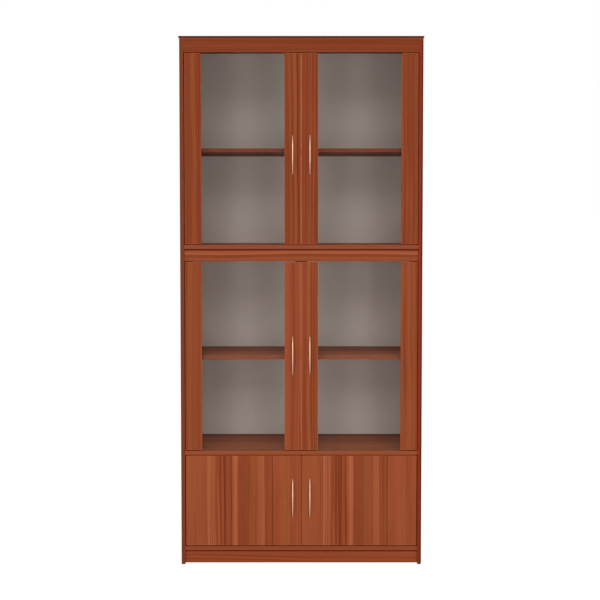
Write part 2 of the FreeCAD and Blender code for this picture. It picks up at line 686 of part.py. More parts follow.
def pivot_holes(body, height):
    """Holes for the hinge pins in both ends of a hinge stile or wooden door."""
    for offset, upwards in (("0", True), (height, False)):
        holes = new_sketch(body, "XY_Plane", offset)
        circle(holes, "sizes.pivot_radius + sizes.fit", "sizes.pivot_inset", "sizes.pivot_setback")
        pocket(body, holes, "sizes.pivot_root + sizes.end_play", along_normal=upwards)


def handle_holes(body, across, rise):
    """Two screw holes through the door behind the feet of its handle."""
    holes = new_sketch(body, "XZ_Plane")
    for step in ("-", "+"):
        circle(holes, "sizes.screw_radius + sizes.fit", across, f"{rise} {step} layout.screw_spacing / 2")
    pocket(body, holes, "sizes.door_thickness")


def strike_pocket(body, width, height):
    """A shallow seat for the strike plate at the top of the rear face, beside the meeting edge."""
    seat = new_sketch(body, "XZ_Plane", "-sizes.door_thickness")
    rectangle(seat, "sizes.strike_width + 2 * sizes.fit", "sizes.strike_height + 2 * sizes.fit",
              f"{width} - sizes.strike_margin - sizes.strike_width - sizes.fit",
              f"{height} - sizes.strike_margin - sizes.strike_height - sizes.fit")
    pocket(body, seat, "sizes.strike_thickness - sizes.strike_proud", along_normal=True)


def door_board(label, x, low, width, height):
    """A board of door thickness with its long front edges rounded."""
    body = new_body(label, x, "layout.door_front", low)
    blank = new_sketch(body, "XY_Plane")
    rectangle(blank, width, "sizes.door_thickness")
    board = pad(body, blank, height)
    round_edges(body, board, "sizes.edge_round", in_front)
    return body


def glass_groove(body, left, height):
    """A groove for the glass along the whole inner edge of a stile."""
    groove = new_sketch(body, "XY_Plane")
    rectangle(groove, "sizes.glass_groove", "sizes.glass_thickness + 2 * sizes.glass_play", left,
              "layout.glass_setback - sizes.glass_play")
    pocket(body, groove, height, along_normal=True)


def glazed_leaf(row, low, height, rise):
    """The two stiles of a left glazed door and the pane bonded between them."""
    hinge_stile = door_board(f"{row}_left_hinge_stile", "layout.door_left", low, "sizes.stile_width", height)
    glass_groove(hinge_stile, "sizes.stile_width - sizes.glass_groove", height)
    pivot_holes(hinge_stile, height)
    pull_stile = door_board(f"{row}_left_pull_stile", "layout.pull_left", low, "sizes.stile_width", height)
    glass_groove(pull_stile, "0", height)
    handle_holes(pull_stile, "sizes.stile_width / 2", rise)
    strike_pocket(pull_stile, "sizes.stile_width", height)

    edge = "(sizes.stile_width - sizes.glass_groove + sizes.glass_edge)"
    pane = new_body(f"{row}_left_glass", f"layout.door_left + {edge}",
                    "layout.door_front + layout.glass_setback", f"{low} + sizes.glass_edge")
    blank = new_sketch(pane, "XY_Plane")
    rectangle(blank, f"layout.door_width - 2 * {edge}", "sizes.glass_thickness")
    pad(pane, blank, f"{height} - 2 * sizes.glass_edge")
    return [keep(hinge_stile), keep(pull_stile), keep(pane)]


def wooden_leaf(row, low, height, rise):
    """The board of a left wooden door."""
    door = door_board(f"{row}_left_panel", "layout.door_left", low, "layout.door_width", height)
    pivot_holes(door, height)
    handle_holes(door, "layout.door_width - sizes.stile_width / 2", rise)
    strike_pocket(door, "layout.door_width", height)
    return [keep(door)]


def pivot_pin():
    """A hinge pin with the collar that carries the door, its tip pointing down."""
    body = new_body("pivot_pin")
    profile = new_sketch(body, "XZ_Plane")
    collar = "-(sizes.door_gap - sizes.bush_flange - sizes.pivot_lift)"
    tip = "-(sizes.door_gap + sizes.bush_depth - sizes.end_play)"
    polygon(profile, (("0", "sizes.pivot_root"), ("sizes.pivot_radius", "sizes.pivot_root"),
                      ("sizes.pivot_radius", "0"), ("sizes.pivot_collar", "0"),
                      ("sizes.pivot_collar", collar), ("sizes.pivot_radius", collar),
                      ("sizes.pivot_radius", f"{tip} + sizes.pivot_chamfer"),
                      ("sizes.pivot_radius - sizes.pivot_chamfer", tip), ("0", tip)))
    revolve(body, profile, "V_Axis")
    return body


def bow_handle():
    """A bow between two feet on the door: an outer and an inner arc with all long edges rounded."""
    body = new_body("bow_handle")
    size = {alias: value for alias, value, note in SIZES}
    outline = new_sketch(body, "YZ_Plane", "-sizes.handle_width / 2")
    half_outer = size["handle_length"] / 2
    half_inner = half_outer - size["handle_foot"]
    reach = size["handle_standout"]
    clear = reach - size["handle_bar"]
    outer = Part.Arc(Vector(0, -half_outer), Vector(-reach, 0), Vector(0, half_outer))
    inner = Part.Arc(Vector(0, -half_inner), Vector(-clear, 0), Vector(0, half_inner))
    outline.addGeometry([outer, inner,
                         Part.LineSegment(Vector(0, -half_outer), Vector(0, -half_inner)),
                         Part.LineSegment(Vector(0, half_inner), Vector(0, half_outer))], False)
    ends = []
    for arc in range(2):
        low_end = 1 if outline.getPoint(arc, 1).y < 0 else 2
        ends.append((low_end, 3 - low_end))
    half = "sizes.handle_length / 2"
    clear_half = "(sizes.handle_length / 2 - sizes.handle_foot)"
    rise = "(sizes.handle_standout - sizes.handle_bar)"
    for arc, span, height in ((0, half, "sizes.handle_standout"), (1, clear_half, rise)):
        for end, sign in zip(ends[arc], ("-", "")):
            drawn = outline.getPoint(arc, end)
            dimension(outline, "DistanceX", (-1, 1, arc, end), "0", drawn.x)
            dimension(outline, "DistanceY", (-1, 1, arc, end), f"{sign}{span}", drawn.y)
        radius = f"({span} * {span} + {height} * {height}) / (2 * {height})"
        dimension(outline, "Radius", (arc,), radius, outline.Geometry[arc].Radius)
    joins = ((2, 1, 0, ends[0][0]), (2, 2, 1, ends[1][0]), (3, 1, 1, ends[1][1]), (3, 2, 0, ends[0][1]))
    for join in joins:
        outline.addConstraint(Sketcher.Constraint("Coincident", *join))
    bar = pad(body, outline, "sizes.handle_width")
    round_edges(body, bar, "sizes.handle_edge", lambda edge: isinstance(edge.Curve, Part.Circle))
    holes = new_sketch(body, "XZ_Plane")
    for side in ("-", ""):
        circle(holes, "sizes.screw_radius + sizes.fit", "0", f"{side}layout.screw_spacing / 2")
    pocket(body, holes, "sizes.screw_reach + sizes.end_play", along_normal=True)
    return body


def handle_screw():
    """A pan-head screw from the door's rear face into the handle's foot."""
    body = new_body("handle_screw")
    profile = new_sketch(body, "XY_Plane")
    head = "sizes.door_thickness + sizes.screw_head"
    polygon(profile, (("0", "-sizes.screw_reach"), ("sizes.screw_radius", "-sizes.screw_reach"),
                      ("sizes.screw_radius", "sizes.door_thickness"),
                      ("sizes.screw_head_radius", "sizes.door_thickness"), ("sizes.screw_head_radius", head),
                      ("0", head)))
    revolve(body, profile, "V_Axis")
    return body


def strike_plate():
    """A small steel plate with a screw hole, for the magnet of the catch."""
    body = new_body("strike_plate")
    blank = new_sketch(body, "XY_Plane")
    rectangle(blank, "sizes.strike_width", "sizes.strike_thickness")
    pad(body, blank, "sizes.strike_height")
    hole = new_sketch(body, "XZ_Plane")
    circle(hole, "sizes.strike_hole", "sizes.strike_width / 2", "sizes.strike_height / 2")
    pocket(body, hole, "sizes.strike_thickness")
    return body


def doors():
    """Six doors: the left ones from their pieces, the right ones as their twins."""
    pin = pivot_pin()
    handle = bow_handle()
    screw = handle_screw()
    plate = strike_plate()
    for row, low, height, rise in DOOR_ROWS:
        leaf = wooden_leaf if row == "cupboard" else glazed_leaf
        pieces = leaf(row, low, height, rise)
        middle = f"{low} + {rise}"
        screw_rises = [f"{middle} {step} layout.screw_spacing / 2" for step in ("-", "+")]
        pieces.append(group(f"{row}_left_handle", [
            (handle, "layout.handle_x", "layout.door_front", middle, UPRIGHT)]))
        pieces.append(group(f"{row}_left_handle_screws", [
            (screw, "layout.handle_x", "layout.door_front", screw_rise, UPRIGHT)
            for screw_rise in screw_rises]))
        pieces.append(group(f"{row}_left_pivots", [
            (pin, "layout.hinge_x", "layout.hinge_y", low, UPRIGHT),
            (pin, "layout.hinge_x", "layout.hinge_y", f"{low} + {height}", UPSIDE_DOWN)]))
        pieces.append(group(f"{row}_left_strike_plate", [
            (plate, "-sizes.door_gap / 2 - sizes.strike_margin - sizes.strike_width",
             "layout.door_front + sizes.door_thickness + sizes.strike_proud - sizes.strike_thickness",
             f"{low} + {height} - sizes.strike_margin - sizes.strike_height", UPRIGHT)]))
        for piece in pieces:
            mirrored(piece.Label.replace("left", "right"), piece)


def write_nodes():
    """Check every object of the document, then write one file for each node."""
    doc.recompute()
    for thing in doc.Objects:
        if "Invalid" in thing.State or "Error" in thing.State:
            raise ValueError(f"{thing.Label} did not compute")
    for node in nodes:
        if node.Shape.isNull() or not node.Shape.isValid():
            raise ValueError(f"{node.Label} has no valid shape")
    os.makedirs("parts", exist_ok=True)
    for node in nodes:
        node.Shape.exportStep(f"parts/{node.Label}.step")


make_sizes()
mirrored("right_side_panel", side_panel())
top_panel()
panel("middle_panel", "layout.middle_low", doors_above=True, doors_below=False)
panel("lower_panel", "layout.lower_low", doors_above=True, doors_below=True)
panel("bottom_panel", "layout.bottom_low", doors_above=True, doors_below=False)
rail("top_rail", "layout.top_rail_recess", "sizes.top_rail_board", "layout.top_rail_low", "sizes.top_rail",
     doors_below=True)
rail("middle_rail", "layout.middle_rail_recess", "sizes.board", "layout.middle_rail_low",
     "sizes.middle_rail", doors_below=True)
rail("front_plinth", "sizes.plinth_recess", "sizes.board", "sizes.foot_height", "sizes.plinth_height",
     doors_below=False)
rail("rear_plinth", "layout.rear_plinth", "sizes.board", "sizes.foot_height", "sizes.plinth_height",
     doors_below=False)
back_panel("upper_back_panel", "layout.seam + sizes.back_play", "layout.top_low")
back_panel("lower_back_panel", "layout.bottom_low", "layout.seam - sizes.back_play")
shelf("upper_shelf", "layout.upper_shelf")
shelf("lower_shelf", "layout.lower_shelf")
shelf_pins()
pivot_bushes()
glide_feet()
cam_locks()
cam_bolts()
dowels()
magnetic_catches()
doors()
write_nodes()
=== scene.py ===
import math
from collections import namedtuple

import bmesh
import bpy
from bpy.props import FloatProperty, FloatVectorProperty, IntProperty, PointerProperty
from bpy.types import NodeSocket, Operator, Panel, PropertyGroup, Scene
from mathutils import Color, Euler, Matrix, Vector


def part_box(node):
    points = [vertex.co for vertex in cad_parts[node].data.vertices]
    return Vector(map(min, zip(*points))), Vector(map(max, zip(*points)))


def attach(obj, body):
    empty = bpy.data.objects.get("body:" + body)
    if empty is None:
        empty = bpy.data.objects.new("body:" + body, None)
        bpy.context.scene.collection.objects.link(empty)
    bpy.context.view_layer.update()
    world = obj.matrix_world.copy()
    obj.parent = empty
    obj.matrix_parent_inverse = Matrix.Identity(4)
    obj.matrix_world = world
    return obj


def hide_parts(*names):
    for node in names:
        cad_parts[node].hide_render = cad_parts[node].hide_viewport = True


bl_info = {
    "name": "Glazed bookcase",
    "version": (1, 0, 0),
    "blender": (4, 5, 0),
    "location": "3D View > Sidebar > Bookcase",
    "description": "Finishes, fittings and studio of a tall bookcase with glass doors",
    "category": "Object",
}

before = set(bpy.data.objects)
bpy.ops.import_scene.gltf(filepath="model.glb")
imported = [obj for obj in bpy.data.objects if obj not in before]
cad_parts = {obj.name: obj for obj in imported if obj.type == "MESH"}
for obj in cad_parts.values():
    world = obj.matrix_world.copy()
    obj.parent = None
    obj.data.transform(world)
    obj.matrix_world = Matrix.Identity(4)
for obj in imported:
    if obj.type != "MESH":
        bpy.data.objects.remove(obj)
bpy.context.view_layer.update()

ROWS = ("upper", "lower", "cupboard")
GLAZED_ROWS = ("upper", "lower")
SIDES = ("left", "right")
DOORS = tuple(f"{row}_{side}" for row in ROWS for side in SIDES)
GLAZED_DOORS = tuple(f"{row}_{side}" for row in GLAZED_ROWS for side in SIDES)
FAR_AWAY = 10.0
QUARTER_TURN = math.radians(90)
HALF_TURN = math.radians(180)
SOFT_ANGLE = math.radians(40)
MICROMETRE_DIGITS = 6
SENSOR_MILLIMETRES = 36

# Run of the grain, bands in a metre across it, their contrast and the part of it in wide bands
Grain = namedtuple("Grain", "along bands contrast wide")
UPRIGHT = Grain("z", 26.0, 0.85, 0.24)
SHEET = Grain("z", 26.0, 1.0, 0.05)
STILE = Grain("z", 30.0, 0.6, 0.24)
LEVEL = Grain("x", 70.0, 0.7, 0.2)
RAIL = Grain("x", 50.0, 0.65, 0.3)
CALM = Grain("x", 70.0, 0.3, 0.2)
FLOOR = Grain("x", 22.0, 0.9, 0.45)

# Metres across and along the veneer from one board or glazed door to the next, so that their figures differ
BOARD_STEPS = (0.43, 1.3)
STILE_STEPS = (0.73, 2.1)
PULL_STILE_STEP = 0.23

# Metres across the veneer to the sheets of the wooden doors, and along it from one door to the next
SHEET_START = 3.5
SHEET_STEP = 0.15

# Tone of each row of doors, and how much darker than in front an inner board is painted at its rear, as
# painted shade
# Partly painted shade: the upper rows are darker, as if less light fell on them
ROW_TONES_WITH_SHADE = {"upper": -0.24, "lower": -0.1, "cupboard": 0.0}
PAINTED_REAR_SHADE = {"lower_panel": 0.75, "lower_shelf": 0.75}

# Figure of the sheet on a wooden door, in shares of its width
FINE_LINES = (0.14, 0.54)
LIGHT_BANDS = ((0.15, 0.25), (0.395, 0.45), (0.63, 0.685))
DARK_BANDS = ((0.325, 0.385), (0.69, 0.752))

# Noise of the veneer: how close it lies across, through and along the grain
DRIFT_SCALES = (5, 5, 1.1)
FADE_SCALES = (35, 35, 1.8)
CLOUD_SCALES = (14, 14, 2.5)
FIBRE_SCALES = (420, 420, 6)
PORE_SCALES = (1600, 1600, 90)

# The range that holds nearly all of a noise
NOISE_SPAN = (0.2, 0.8)

# How far in metres a mark reaches in from the face that it belongs to
BAND_DEPTH = 0.0016
SEAM_AND_SHADOW_DEPTH = 0.0075
RAW_DEPTH = 0.0004
CUT_DEPTH = 0.0008
DUST_AND_SHADE_DEPTH = 0.002


# Values that a user would change

def light_share(name, description, red, green, blue):
    """A colour property from the share of each colour's light, as shaders take it."""
    return FloatVectorProperty(name=name, description=description, subtype="COLOR", size=3, min=0, max=1,
                               default=(red, green, blue))


def colour(name, description, red, green, blue):
    """A colour property from its value on screen, 0 to 255."""
    on_screen = Color((red / 255, green / 255, blue / 255))
    return light_share(name, description, *on_screen.from_srgb_to_scene_linear())


def length(name, description, millimetres):
    """A length property from its value in millimetres."""
    return FloatProperty(name=name, description=description, unit="LENGTH", min=0, precision=5,
                         default=millimetres / 1000)


def spot(name, description, x, y, z):
    """A place property in metres."""
    return FloatVectorProperty(name=name, description=description, subtype="TRANSLATION", size=3,
                               default=(x, y, z))


class BookcaseColours(PropertyGroup):
    """Colours of the boards, panes and fittings."""

    # Dark streaks also colour the wooden meeting strip as a painted shadow line between the wooden doors
    wood_dark: colour("Dark streaks", "Darkest laminate bands and the wooden meeting strip", 112, 46, 20)
    wood: colour("Laminate", "Middle tone of the laminate", 147, 74, 41)
    wood_light: colour("Light bands", "Lightest bands of the laminate", 170, 97, 63)
    # Grain lines also paint the seams and the painted shadow lines under the middle and bottom panels
    wood_line: colour("Grain lines", "Pores and dark seams", 74, 24, 10)
    band: colour("Edge band", "Edge bands of the boards between the sides", 139, 68, 40)
    # Painted shade: the side and shelf edge bands are the one edge band made darker and redder where less
    # light falls on it
    left_band: colour("Left edge band", "Front edge of the left side panel", 113, 54, 31)
    right_band: colour("Right edge band", "Front edge of the right side panel", 134, 38, 22)
    upper_band: colour("Upper shelf band", "Front edge of the upper shelf", 114, 54, 33)
    lower_band: colour("Lower shelf band", "Front edge of the lower shelf", 126, 66, 42)
    # The glazed doors' meeting strips are painted light as a painted highlight along the meeting line
    lipping: colour("Lipping", "Meeting strips of the glazed doors", 160, 90, 58)
    # Door edge bands painted lighter than the laminate: painted highlight on the edges and painted light in
    # the shaded gaps
    door_edge: colour("Door edge", "Edge bands of the doors", 186, 88, 48)
    core: colour("Board core", "Raw chipboard at the rear edges", 176, 145, 108)
    back: colour("Back panels", "Front of the back panels", 212, 199, 191)
    hardboard: colour("Hardboard", "Rear of the back panels", 172, 132, 92)
    hardboard_stain: colour("Hardboard stain", "Darker patches on the rear of the back panels", 128, 92, 60)
    glass: colour("Glass", "Clear panes", 246, 250, 248)
    glass_edge: colour("Glass edge", "Panes seen through their cut edges", 120, 176, 156)
    glass_shadow: light_share("Glass shadow", "Light that a pane lets through", 0.97, 0.98, 0.975)
    # The plating is tinted pink partly as a painted reflection of the red wood
    nickel: colour("Nickel", "Satin plating of the handles", 222, 180, 156)
    steel: colour("Steel", "Pins, screws, bolts and strike plates", 205, 205, 202)
    bronzed: colour("Bronzed steel", "Hinge pins", 92, 58, 42)
    zinc: colour("Zinc", "Cam locks", 168, 168, 166)
    nylon: colour("Nylon", "Hinge bushes", 92, 44, 28)
    black_plastic: colour("Black plastic", "Glide feet", 34, 30, 30)
    brown_plastic: colour("Brown plastic", "Magnetic catches", 78, 46, 32)
    beech: colour("Beech", "Dowels", 205, 168, 124)


class BookcaseSizes(PropertyGroup):
    """Sizes of the pieces that are modelled here."""

    handle_foot: length("Handle foot", "Foot of a handle along the door", 16)
    handle_bar: length("Handle bar", "Thickness of the bow at its middle", 5)
    handle_squareness: FloatProperty(name="Handle squareness", subtype="FACTOR", min=0, max=0.9, default=0.2,
                                     description="From an oval section to a square one")
    pane_arris: length("Pane arris", "Ground edges of the panes", 0.6)
    lipping: length("Lipping", "Strip on the meeting edge of a right door", 2.4)
    lipping_round: length("Lipping rounding", "Front edges of the strip", 0.6)
    screw_recess: length("Screw recess", "Depth of the cross in a screw head", 1.1)
    strike_screw: length("Strike screw", "Radius of the screw in a strike plate", 1.55)
    catch_screw: length("Catch screw", "Radius of a screw's head on a magnetic catch", 3)
    catch_screw_head: length("Catch screw head", "Height of a screw's head on a magnetic catch", 1.6)
    catch_screw_inset: length("Catch screw inset", "Screws from the end of a magnetic catch", 8)
    catch_flange: length("Catch flange", "Thickness of a magnetic catch's fixing flange", 4)
    catch_reach: length("Catch reach", "Length of a magnetic catch's fixing flange", 18)
    catch_nose: length("Catch nose", "Depth and height of a magnetic catch's nose", 14)
    pole_height: length("Pole height", "Height of a steel pole of a magnetic catch", 1.8)
    pole_length: length("Pole length", "Length of a steel pole of a magnetic catch", 16)
    pole_gap: length("Pole gap", "Between the two poles of a magnet", 3)
    pole_proud: length("Pole", "Steel pole out of its catch", 0.15)
    tack_radius: length("Tack radius", "Head of a tack in the back panels", 2.2)
    tack_head: length("Tack head", "Height of a tack's head", 0.9)
    tack_inset: length("Tack inset", "Last tack of a row from the end of its board", 28)
    tacks: IntProperty(name="Tacks", description="Tacks in one row across a back panel", min=2, default=9)


class BookcaseStage(PropertyGroup):
    """Camera, light and floor."""

    camera_x: length("Camera side", "Camera left of the middle plane", 4.9)
    camera_distance: length("Camera distance", "Camera in front of the case", 4850)
    camera_height: length("Camera height", "Camera above the floor", 1330)
    camera_pitch: FloatProperty(name="Camera pitch", description="Camera turned down", subtype="ANGLE",
                                default=math.radians(3.09))
    camera_lens: FloatProperty(name="Lens", description="Focal length", unit="CAMERA", default=77.2)
    camera_shift: FloatProperty(name="Shift", description="Vertical shift of the frame", default=-0.025)
    key_power: FloatProperty(name="Key light", description="Soft light above the camera", unit="POWER",
                             default=490)
    key_place: spot("Key place", "Middle of the soft light above the camera", 0.0, -9.0, 8.0)
    key_size: length("Key size", "Side of the soft light above the camera", 7000)
    fill_power: FloatProperty(name="Fill lights", description="Soft light on either side", unit="POWER",
                              default=28)
    fill_place: spot("Fill place", "Middle of the soft light on the right", 1.75, -4.7, 0.6)
    fill_width: length("Fill width", "Width of a soft light at the side", 1100)
    fill_height: length("Fill height", "Height of a soft light at the side", 2000)
    aim: spot("Aim", "Place that the lights are turned to", 0.0, 0.0, 0.9)
    room_light: FloatProperty(name="Room light", description="Even light from all round", default=0.6)
    room_white: FloatProperty(name="Room white", description="Light of the seen room", default=1.0)
    floor_reach: length("Floor reach", "Floor from the middle to its edges", 40000)
    floor_colour: light_share("Floor", "Pale floor", 0.85, 0.85, 0.85)
    floor_white: FloatProperty(name="Floor white", description="Light of the seen floor", default=1.15)
    floor_glow: FloatProperty(name="Floor glow", description="How far the seen floor is lifted to white",
                              subtype="FACTOR", min=0, max=1, default=0.8)


# Shader nodes

def put(socket, value):
    """Link a socket from another one, or set its value."""
    if isinstance(value, NodeSocket):
        socket.id_data.links.new(value, socket)
    else:
        socket.default_value = value


def add(tree, kind, inputs=None, **settings):
    """A shader node with its settings, and its inputs as values or as sockets to link from."""
    made = tree.nodes.new(kind)
    for name, value in settings.items():
        setattr(made, name, value)
    for key, value in (inputs or {}).items():
        put(made.inputs[key], value)
    return made


def maths(operation, first, second):
    """One operation on two values, the first from a socket."""
    return add(first.id_data, "ShaderNodeMath", {0: first, 1: second}, operation=operation).outputs[0]


def plus(first, second):
    """Two values added."""
    return maths("ADD", first, second)


def minus(first, second):
    """One value less another."""
    return maths("SUBTRACT", first, second)


def times(first, second):
    """Two values multiplied."""
    return maths("MULTIPLY", first, second)


def centred(value):
    """A value from 0 to 1 carried to -0.5 to 0.5."""
    return minus(value, 0.5)


def remap(value, low, high, start=0.0, end=1.0):
    """A value carried smoothly from one range to another."""
    ranges = {"Value": value, "From Min": low, "From Max": high, "To Min": start, "To Max": end}
    return add(value.id_data, "ShaderNodeMapRange", ranges, interpolation_type="SMOOTHSTEP").outputs["Result"]


def darker(base, share):
    """A colour with a share of its light."""
    return tuple(share * value for value in base)


def blend_colours(share, first, second):
    """Two colours mixed by a share."""
    mixed = add(share.id_data, "ShaderNodeMix", {"Factor": share}, data_type="RGBA")
    for socket, value in zip((s for s in mixed.inputs if s.type == "RGBA"), (first, second)):
        put(socket, value if isinstance(value, NodeSocket) else (*value, 1))
    return next(s for s in mixed.outputs if s.type == "RGBA")


def blend_shaders(share, first, second):
    """Two surfaces mixed by a share."""
    return add(share.id_data, "ShaderNodeMixShader", {0: share, 1: first, 2: second}).outputs[0]


def axes_of(vector):
    """The X, Y and Z of a vector."""
    return add(vector.id_data, "ShaderNodeSeparateXYZ", {"Vector": vector}).outputs


def vector_maths(operation, first, second):
    """One operation on two vectors, the first from a socket."""
    return add(first.id_data, "ShaderNodeVectorMath", {0: first, 1: second}, operation=operation).outputs[0]


def stretched(vector, scales):
    """Coordinates scaled by axis."""
    return vector_maths("MULTIPLY", vector, scales)


def mapped(vector, turn, offset=(0, 0, 0)):
    """Coordinates turned and then moved."""
    inputs = {"Vector": vector, "Rotation": turn, "Location": offset}
    return add(vector.id_data, "ShaderNodeMapping", inputs).outputs[0]


def noise(vector, scale=1.0, detail=2.0):
    """Soft noise from 0 to 1."""
    inputs = {"Vector": vector, "Scale": scale, "Detail": detail}
    return add(vector.id_data, "ShaderNodeTexNoise", inputs).outputs["Fac"]


def bands(across):
    """Uneven bands: three chances for each, the place inside it and how far its border is."""
    tree = across.id_data
    inputs = {"W": across, "Scale": 1.0, "Randomness": 1.0}
    cell, edge = (add(tree, "ShaderNodeTexVoronoi", inputs, voronoi_dimensions="1D", feature=feature).outputs
                  for feature in ("F1", "DISTANCE_TO_EDGE"))
    chance = add(tree, "ShaderNodeSeparateColor", {"Color": cell["Color"]}).outputs
    return {"first": chance["Red"], "second": chance["Green"], "third": chance["Blue"],
            "edge": edge["Distance"], "inside": minus(across, cell["W"])}


def new_group(name, vectors, values, outputs):
    """An empty node group with its sockets, and its entry and exit nodes."""
    tree = bpy.data.node_groups.new(name, "ShaderNodeTree")
    for label in vectors:
        tree.interface.new_socket(label, in_out="INPUT", socket_type="NodeSocketVector")
    for label in values:
        tree.interface.new_socket(label, in_out="INPUT", socket_type="NodeSocketFloat")
    for label in outputs:
        tree.interface.new_socket(label, in_out="OUTPUT", socket_type="NodeSocketFloat")
    return tree, tree.nodes.new("NodeGroupInput").outputs, tree.nodes.new("NodeGroupOutput").inputs


def place_group(build, inputs):
    """A shared node group placed in a material, built the first time it is wanted."""
    group = bpy.data.node_groups.get(build.__name__) or build()
    return add(inputs["Vector"].id_data, "ShaderNodeGroup", inputs, node_tree=group).outputs


def straight_grain():
    """Bands along Z as in sliced veneer: plain wide ones, and bunches of thin dark and light lines."""
    wander_metres = 0.035
    thin_in_wide = 4.8
    bunches_in_wide = 0.55
    slope_gain = 1.5
    tones = {"streak": 0.62, "line": 0.8, "border": 0.4, "fibre": 0.22, "cloud": 0.3}
    plain_share = 0.18
    # From where to where in its noise, chance or distance a mark comes up or dies away
    bunch_range = (0.44, 0.56)
    fade_range = (0.3, 0.62)
    line_range = (0.08, 0.32)
    line_chance = (0.5, 0.75)
    border_range = (0.02, 0.1)
    border_chance = (0.55, 0.7)
    pore_range = (0.62, 0.72)

    tree, start, end = new_group("straight_grain", ("Vector",), ("Bands", "Bunch", "Wide"),
                                 ("Tone", "Hue", "Fibre", "Pore"))
    veneer = start["Vector"]
    drift = noise(stretched(veneer, DRIFT_SCALES))
    place = axes_of(veneer)
    across = plus(plus(place["X"], place["Y"]), times(centred(drift), wander_metres))
    counted = times(across, start["Bands"])
    wide = bands(counted)
    thin = bands(times(counted, thin_in_wide))
    bunch = add(tree, "ShaderNodeTexNoise", {"W": times(counted, bunches_in_wide), "Scale": 1.0,
                                             "Detail": 1.0}, noise_dimensions="1D").outputs["Fac"]
    bunched = remap(plus(bunch, start["Bunch"]), *bunch_range)
    fade = remap(noise(stretched(veneer, FADE_SCALES)), *fade_range)

    slope = times(wide["inside"], centred(wide["second"]))
    plain = plus(times(centred(wide["first"]), start["Wide"]),
                 times(slope, times(start["Wide"], slope_gain)))
    line = times(remap(thin["edge"], *line_range, 1.0, 0.0), remap(thin["second"], *line_chance))
    streaks = minus(times(centred(thin["first"]), tones["streak"]), times(times(line, fade), tones["line"]))
    tone = plus(plain, times(streaks, remap(bunched, 0.0, 1.0, plain_share, 1.0)))
    border = times(remap(wide["edge"], *border_range, 1.0, 0.0), remap(wide["third"], *border_chance))
    tone = minus(tone, times(times(border, fade), tones["border"]))

    fibre = noise(stretched(veneer, FIBRE_SCALES), detail=3.0)
    cloud = noise(stretched(veneer, CLOUD_SCALES))
    for mark, strength in ((fibre, tones["fibre"]), (cloud, tones["cloud"])):
        tone = plus(tone, times(centred(mark), strength))
    pore = remap(noise(stretched(veneer, PORE_SCALES), detail=1.0), *pore_range)
    hue = times(plus(wide["third"], thin["third"]), 0.5)
    for label, value in {"Tone": plus(tone, 0.5), "Hue": hue, "Fibre": fibre, "Pore": pore}.items():
        put(end[label], value)
    return tree


def sheet_figure():
    """One sheet of veneer: where its fine lines bunch, from -0.5 to 0.5, and its light and dark bands."""
    wander_share = 0.06
    tones = {"light": 0.13, "dark": -0.14, "line": -0.4}
    # Soft entry and leave of each mark, and how far a dark line lies before and after its border
    fine_edges = (0.05, 0.03)
    light_edges = (0.03, 0.01)
    dark_edges = (0.004, 0.01)
    line_edges = (0.003, 0.003)
    line_before = 0.005
    line_after = 0.002

    tree, start, end = new_group("sheet_figure", ("Vector",), ("Left", "Width"), ("Bunch", "Tone"))
    drift = noise(stretched(start["Vector"], DRIFT_SCALES))
    beside = minus(axes_of(start["Vector"])["X"], start["Left"])
    share = plus(maths("DIVIDE", beside, start["Width"]), times(centred(drift), wander_share))

    def between(low, high, entry, leave):
        """1 between two places, with a soft entry and leave."""
        rising = remap(share, low, low + entry)
        return times(rising, remap(share, high, high + leave, 1.0, 0.0))

    marks = [times(between(*band, *light_edges), tones["light"]) for band in LIGHT_BANDS]
    for band in DARK_BANDS:
        marks.append(times(between(*band, *dark_edges), tones["dark"]))
        for border in band:
            line = between(border - line_before, border + line_after, *line_edges)
            marks.append(times(line, tones["line"]))
    tone = marks[0]
    for mark in marks[1:]:
        tone = plus(tone, mark)
    put(end["Bunch"], centred(between(*FINE_LINES, *fine_edges)))
    put(end["Tone"], tone)
    return tree


def near_faces():
    """1 at the faces of a box and 0 further inside than the width given."""
    soft_from = 0.6
    tree, start, end = new_group("near_faces", ("Vector", "Low", "High"), ("Width",), ("Near",))
    least = vector_maths("MINIMUM", vector_maths("SUBTRACT", start["Vector"], start["Low"]),
                         vector_maths("SUBTRACT", start["High"], start["Vector"]))
    gaps = axes_of(least)
    nearest = maths("MINIMUM", maths("MINIMUM", gaps["X"], gaps["Y"]), gaps["Z"])
    share = maths("DIVIDE", nearest, start["Width"])
    put(end["Near"], remap(share, soft_from, 1.0, 1.0, 0.0))
    return tree


def mottle():
    """Soft clouds and fine specks for moulded, cast and plated surfaces."""
    specks_in_cloud = 9.0
    tree, start, end = new_group("mottle", ("Vector",), ("Scale",), ("Cloud", "Speck"))
    put(end["Cloud"], noise(start["Vector"], start["Scale"]))
    fine = times(start["Scale"], specks_in_cloud)
    put(end["Speck"], noise(start["Vector"], fine, detail=4.0))
    return tree


# Finishes

def empty_tree(owner):
    """The tree of a material or of the world, with no nodes in it."""
    owner.use_nodes = True
    owner.node_tree.nodes.clear()
    return owner.node_tree


def new_finish(name):
    """A material with its object coordinates and a lit surface."""
    finish = bpy.data.materials.new(name)
    tree = empty_tree(finish)
    place = add(tree, "ShaderNodeTexCoord").outputs["Object"]
    shader = add(tree, "ShaderNodeBsdfPrincipled")
    add(tree, "ShaderNodeOutputMaterial", {"Surface": shader.outputs[0]})
    return finish, place, shader


def feed(shader, **inputs):
    """Values and links on a shader, with plain words for its sockets."""
    for words, value in inputs.items():
        put(shader.inputs[words.replace("_", " ")], value)


def relief(height, depth, strength):
    """A bump of a given depth in metres."""
    inputs = {"Height": height, "Distance": depth, "Strength": strength}
    return add(height.id_data, "ShaderNodeBump", inputs).outputs[0]


def from_noise(value, start, end):
    """A noise carried to a range of values."""
    return remap(value, *NOISE_SPAN, start, end)


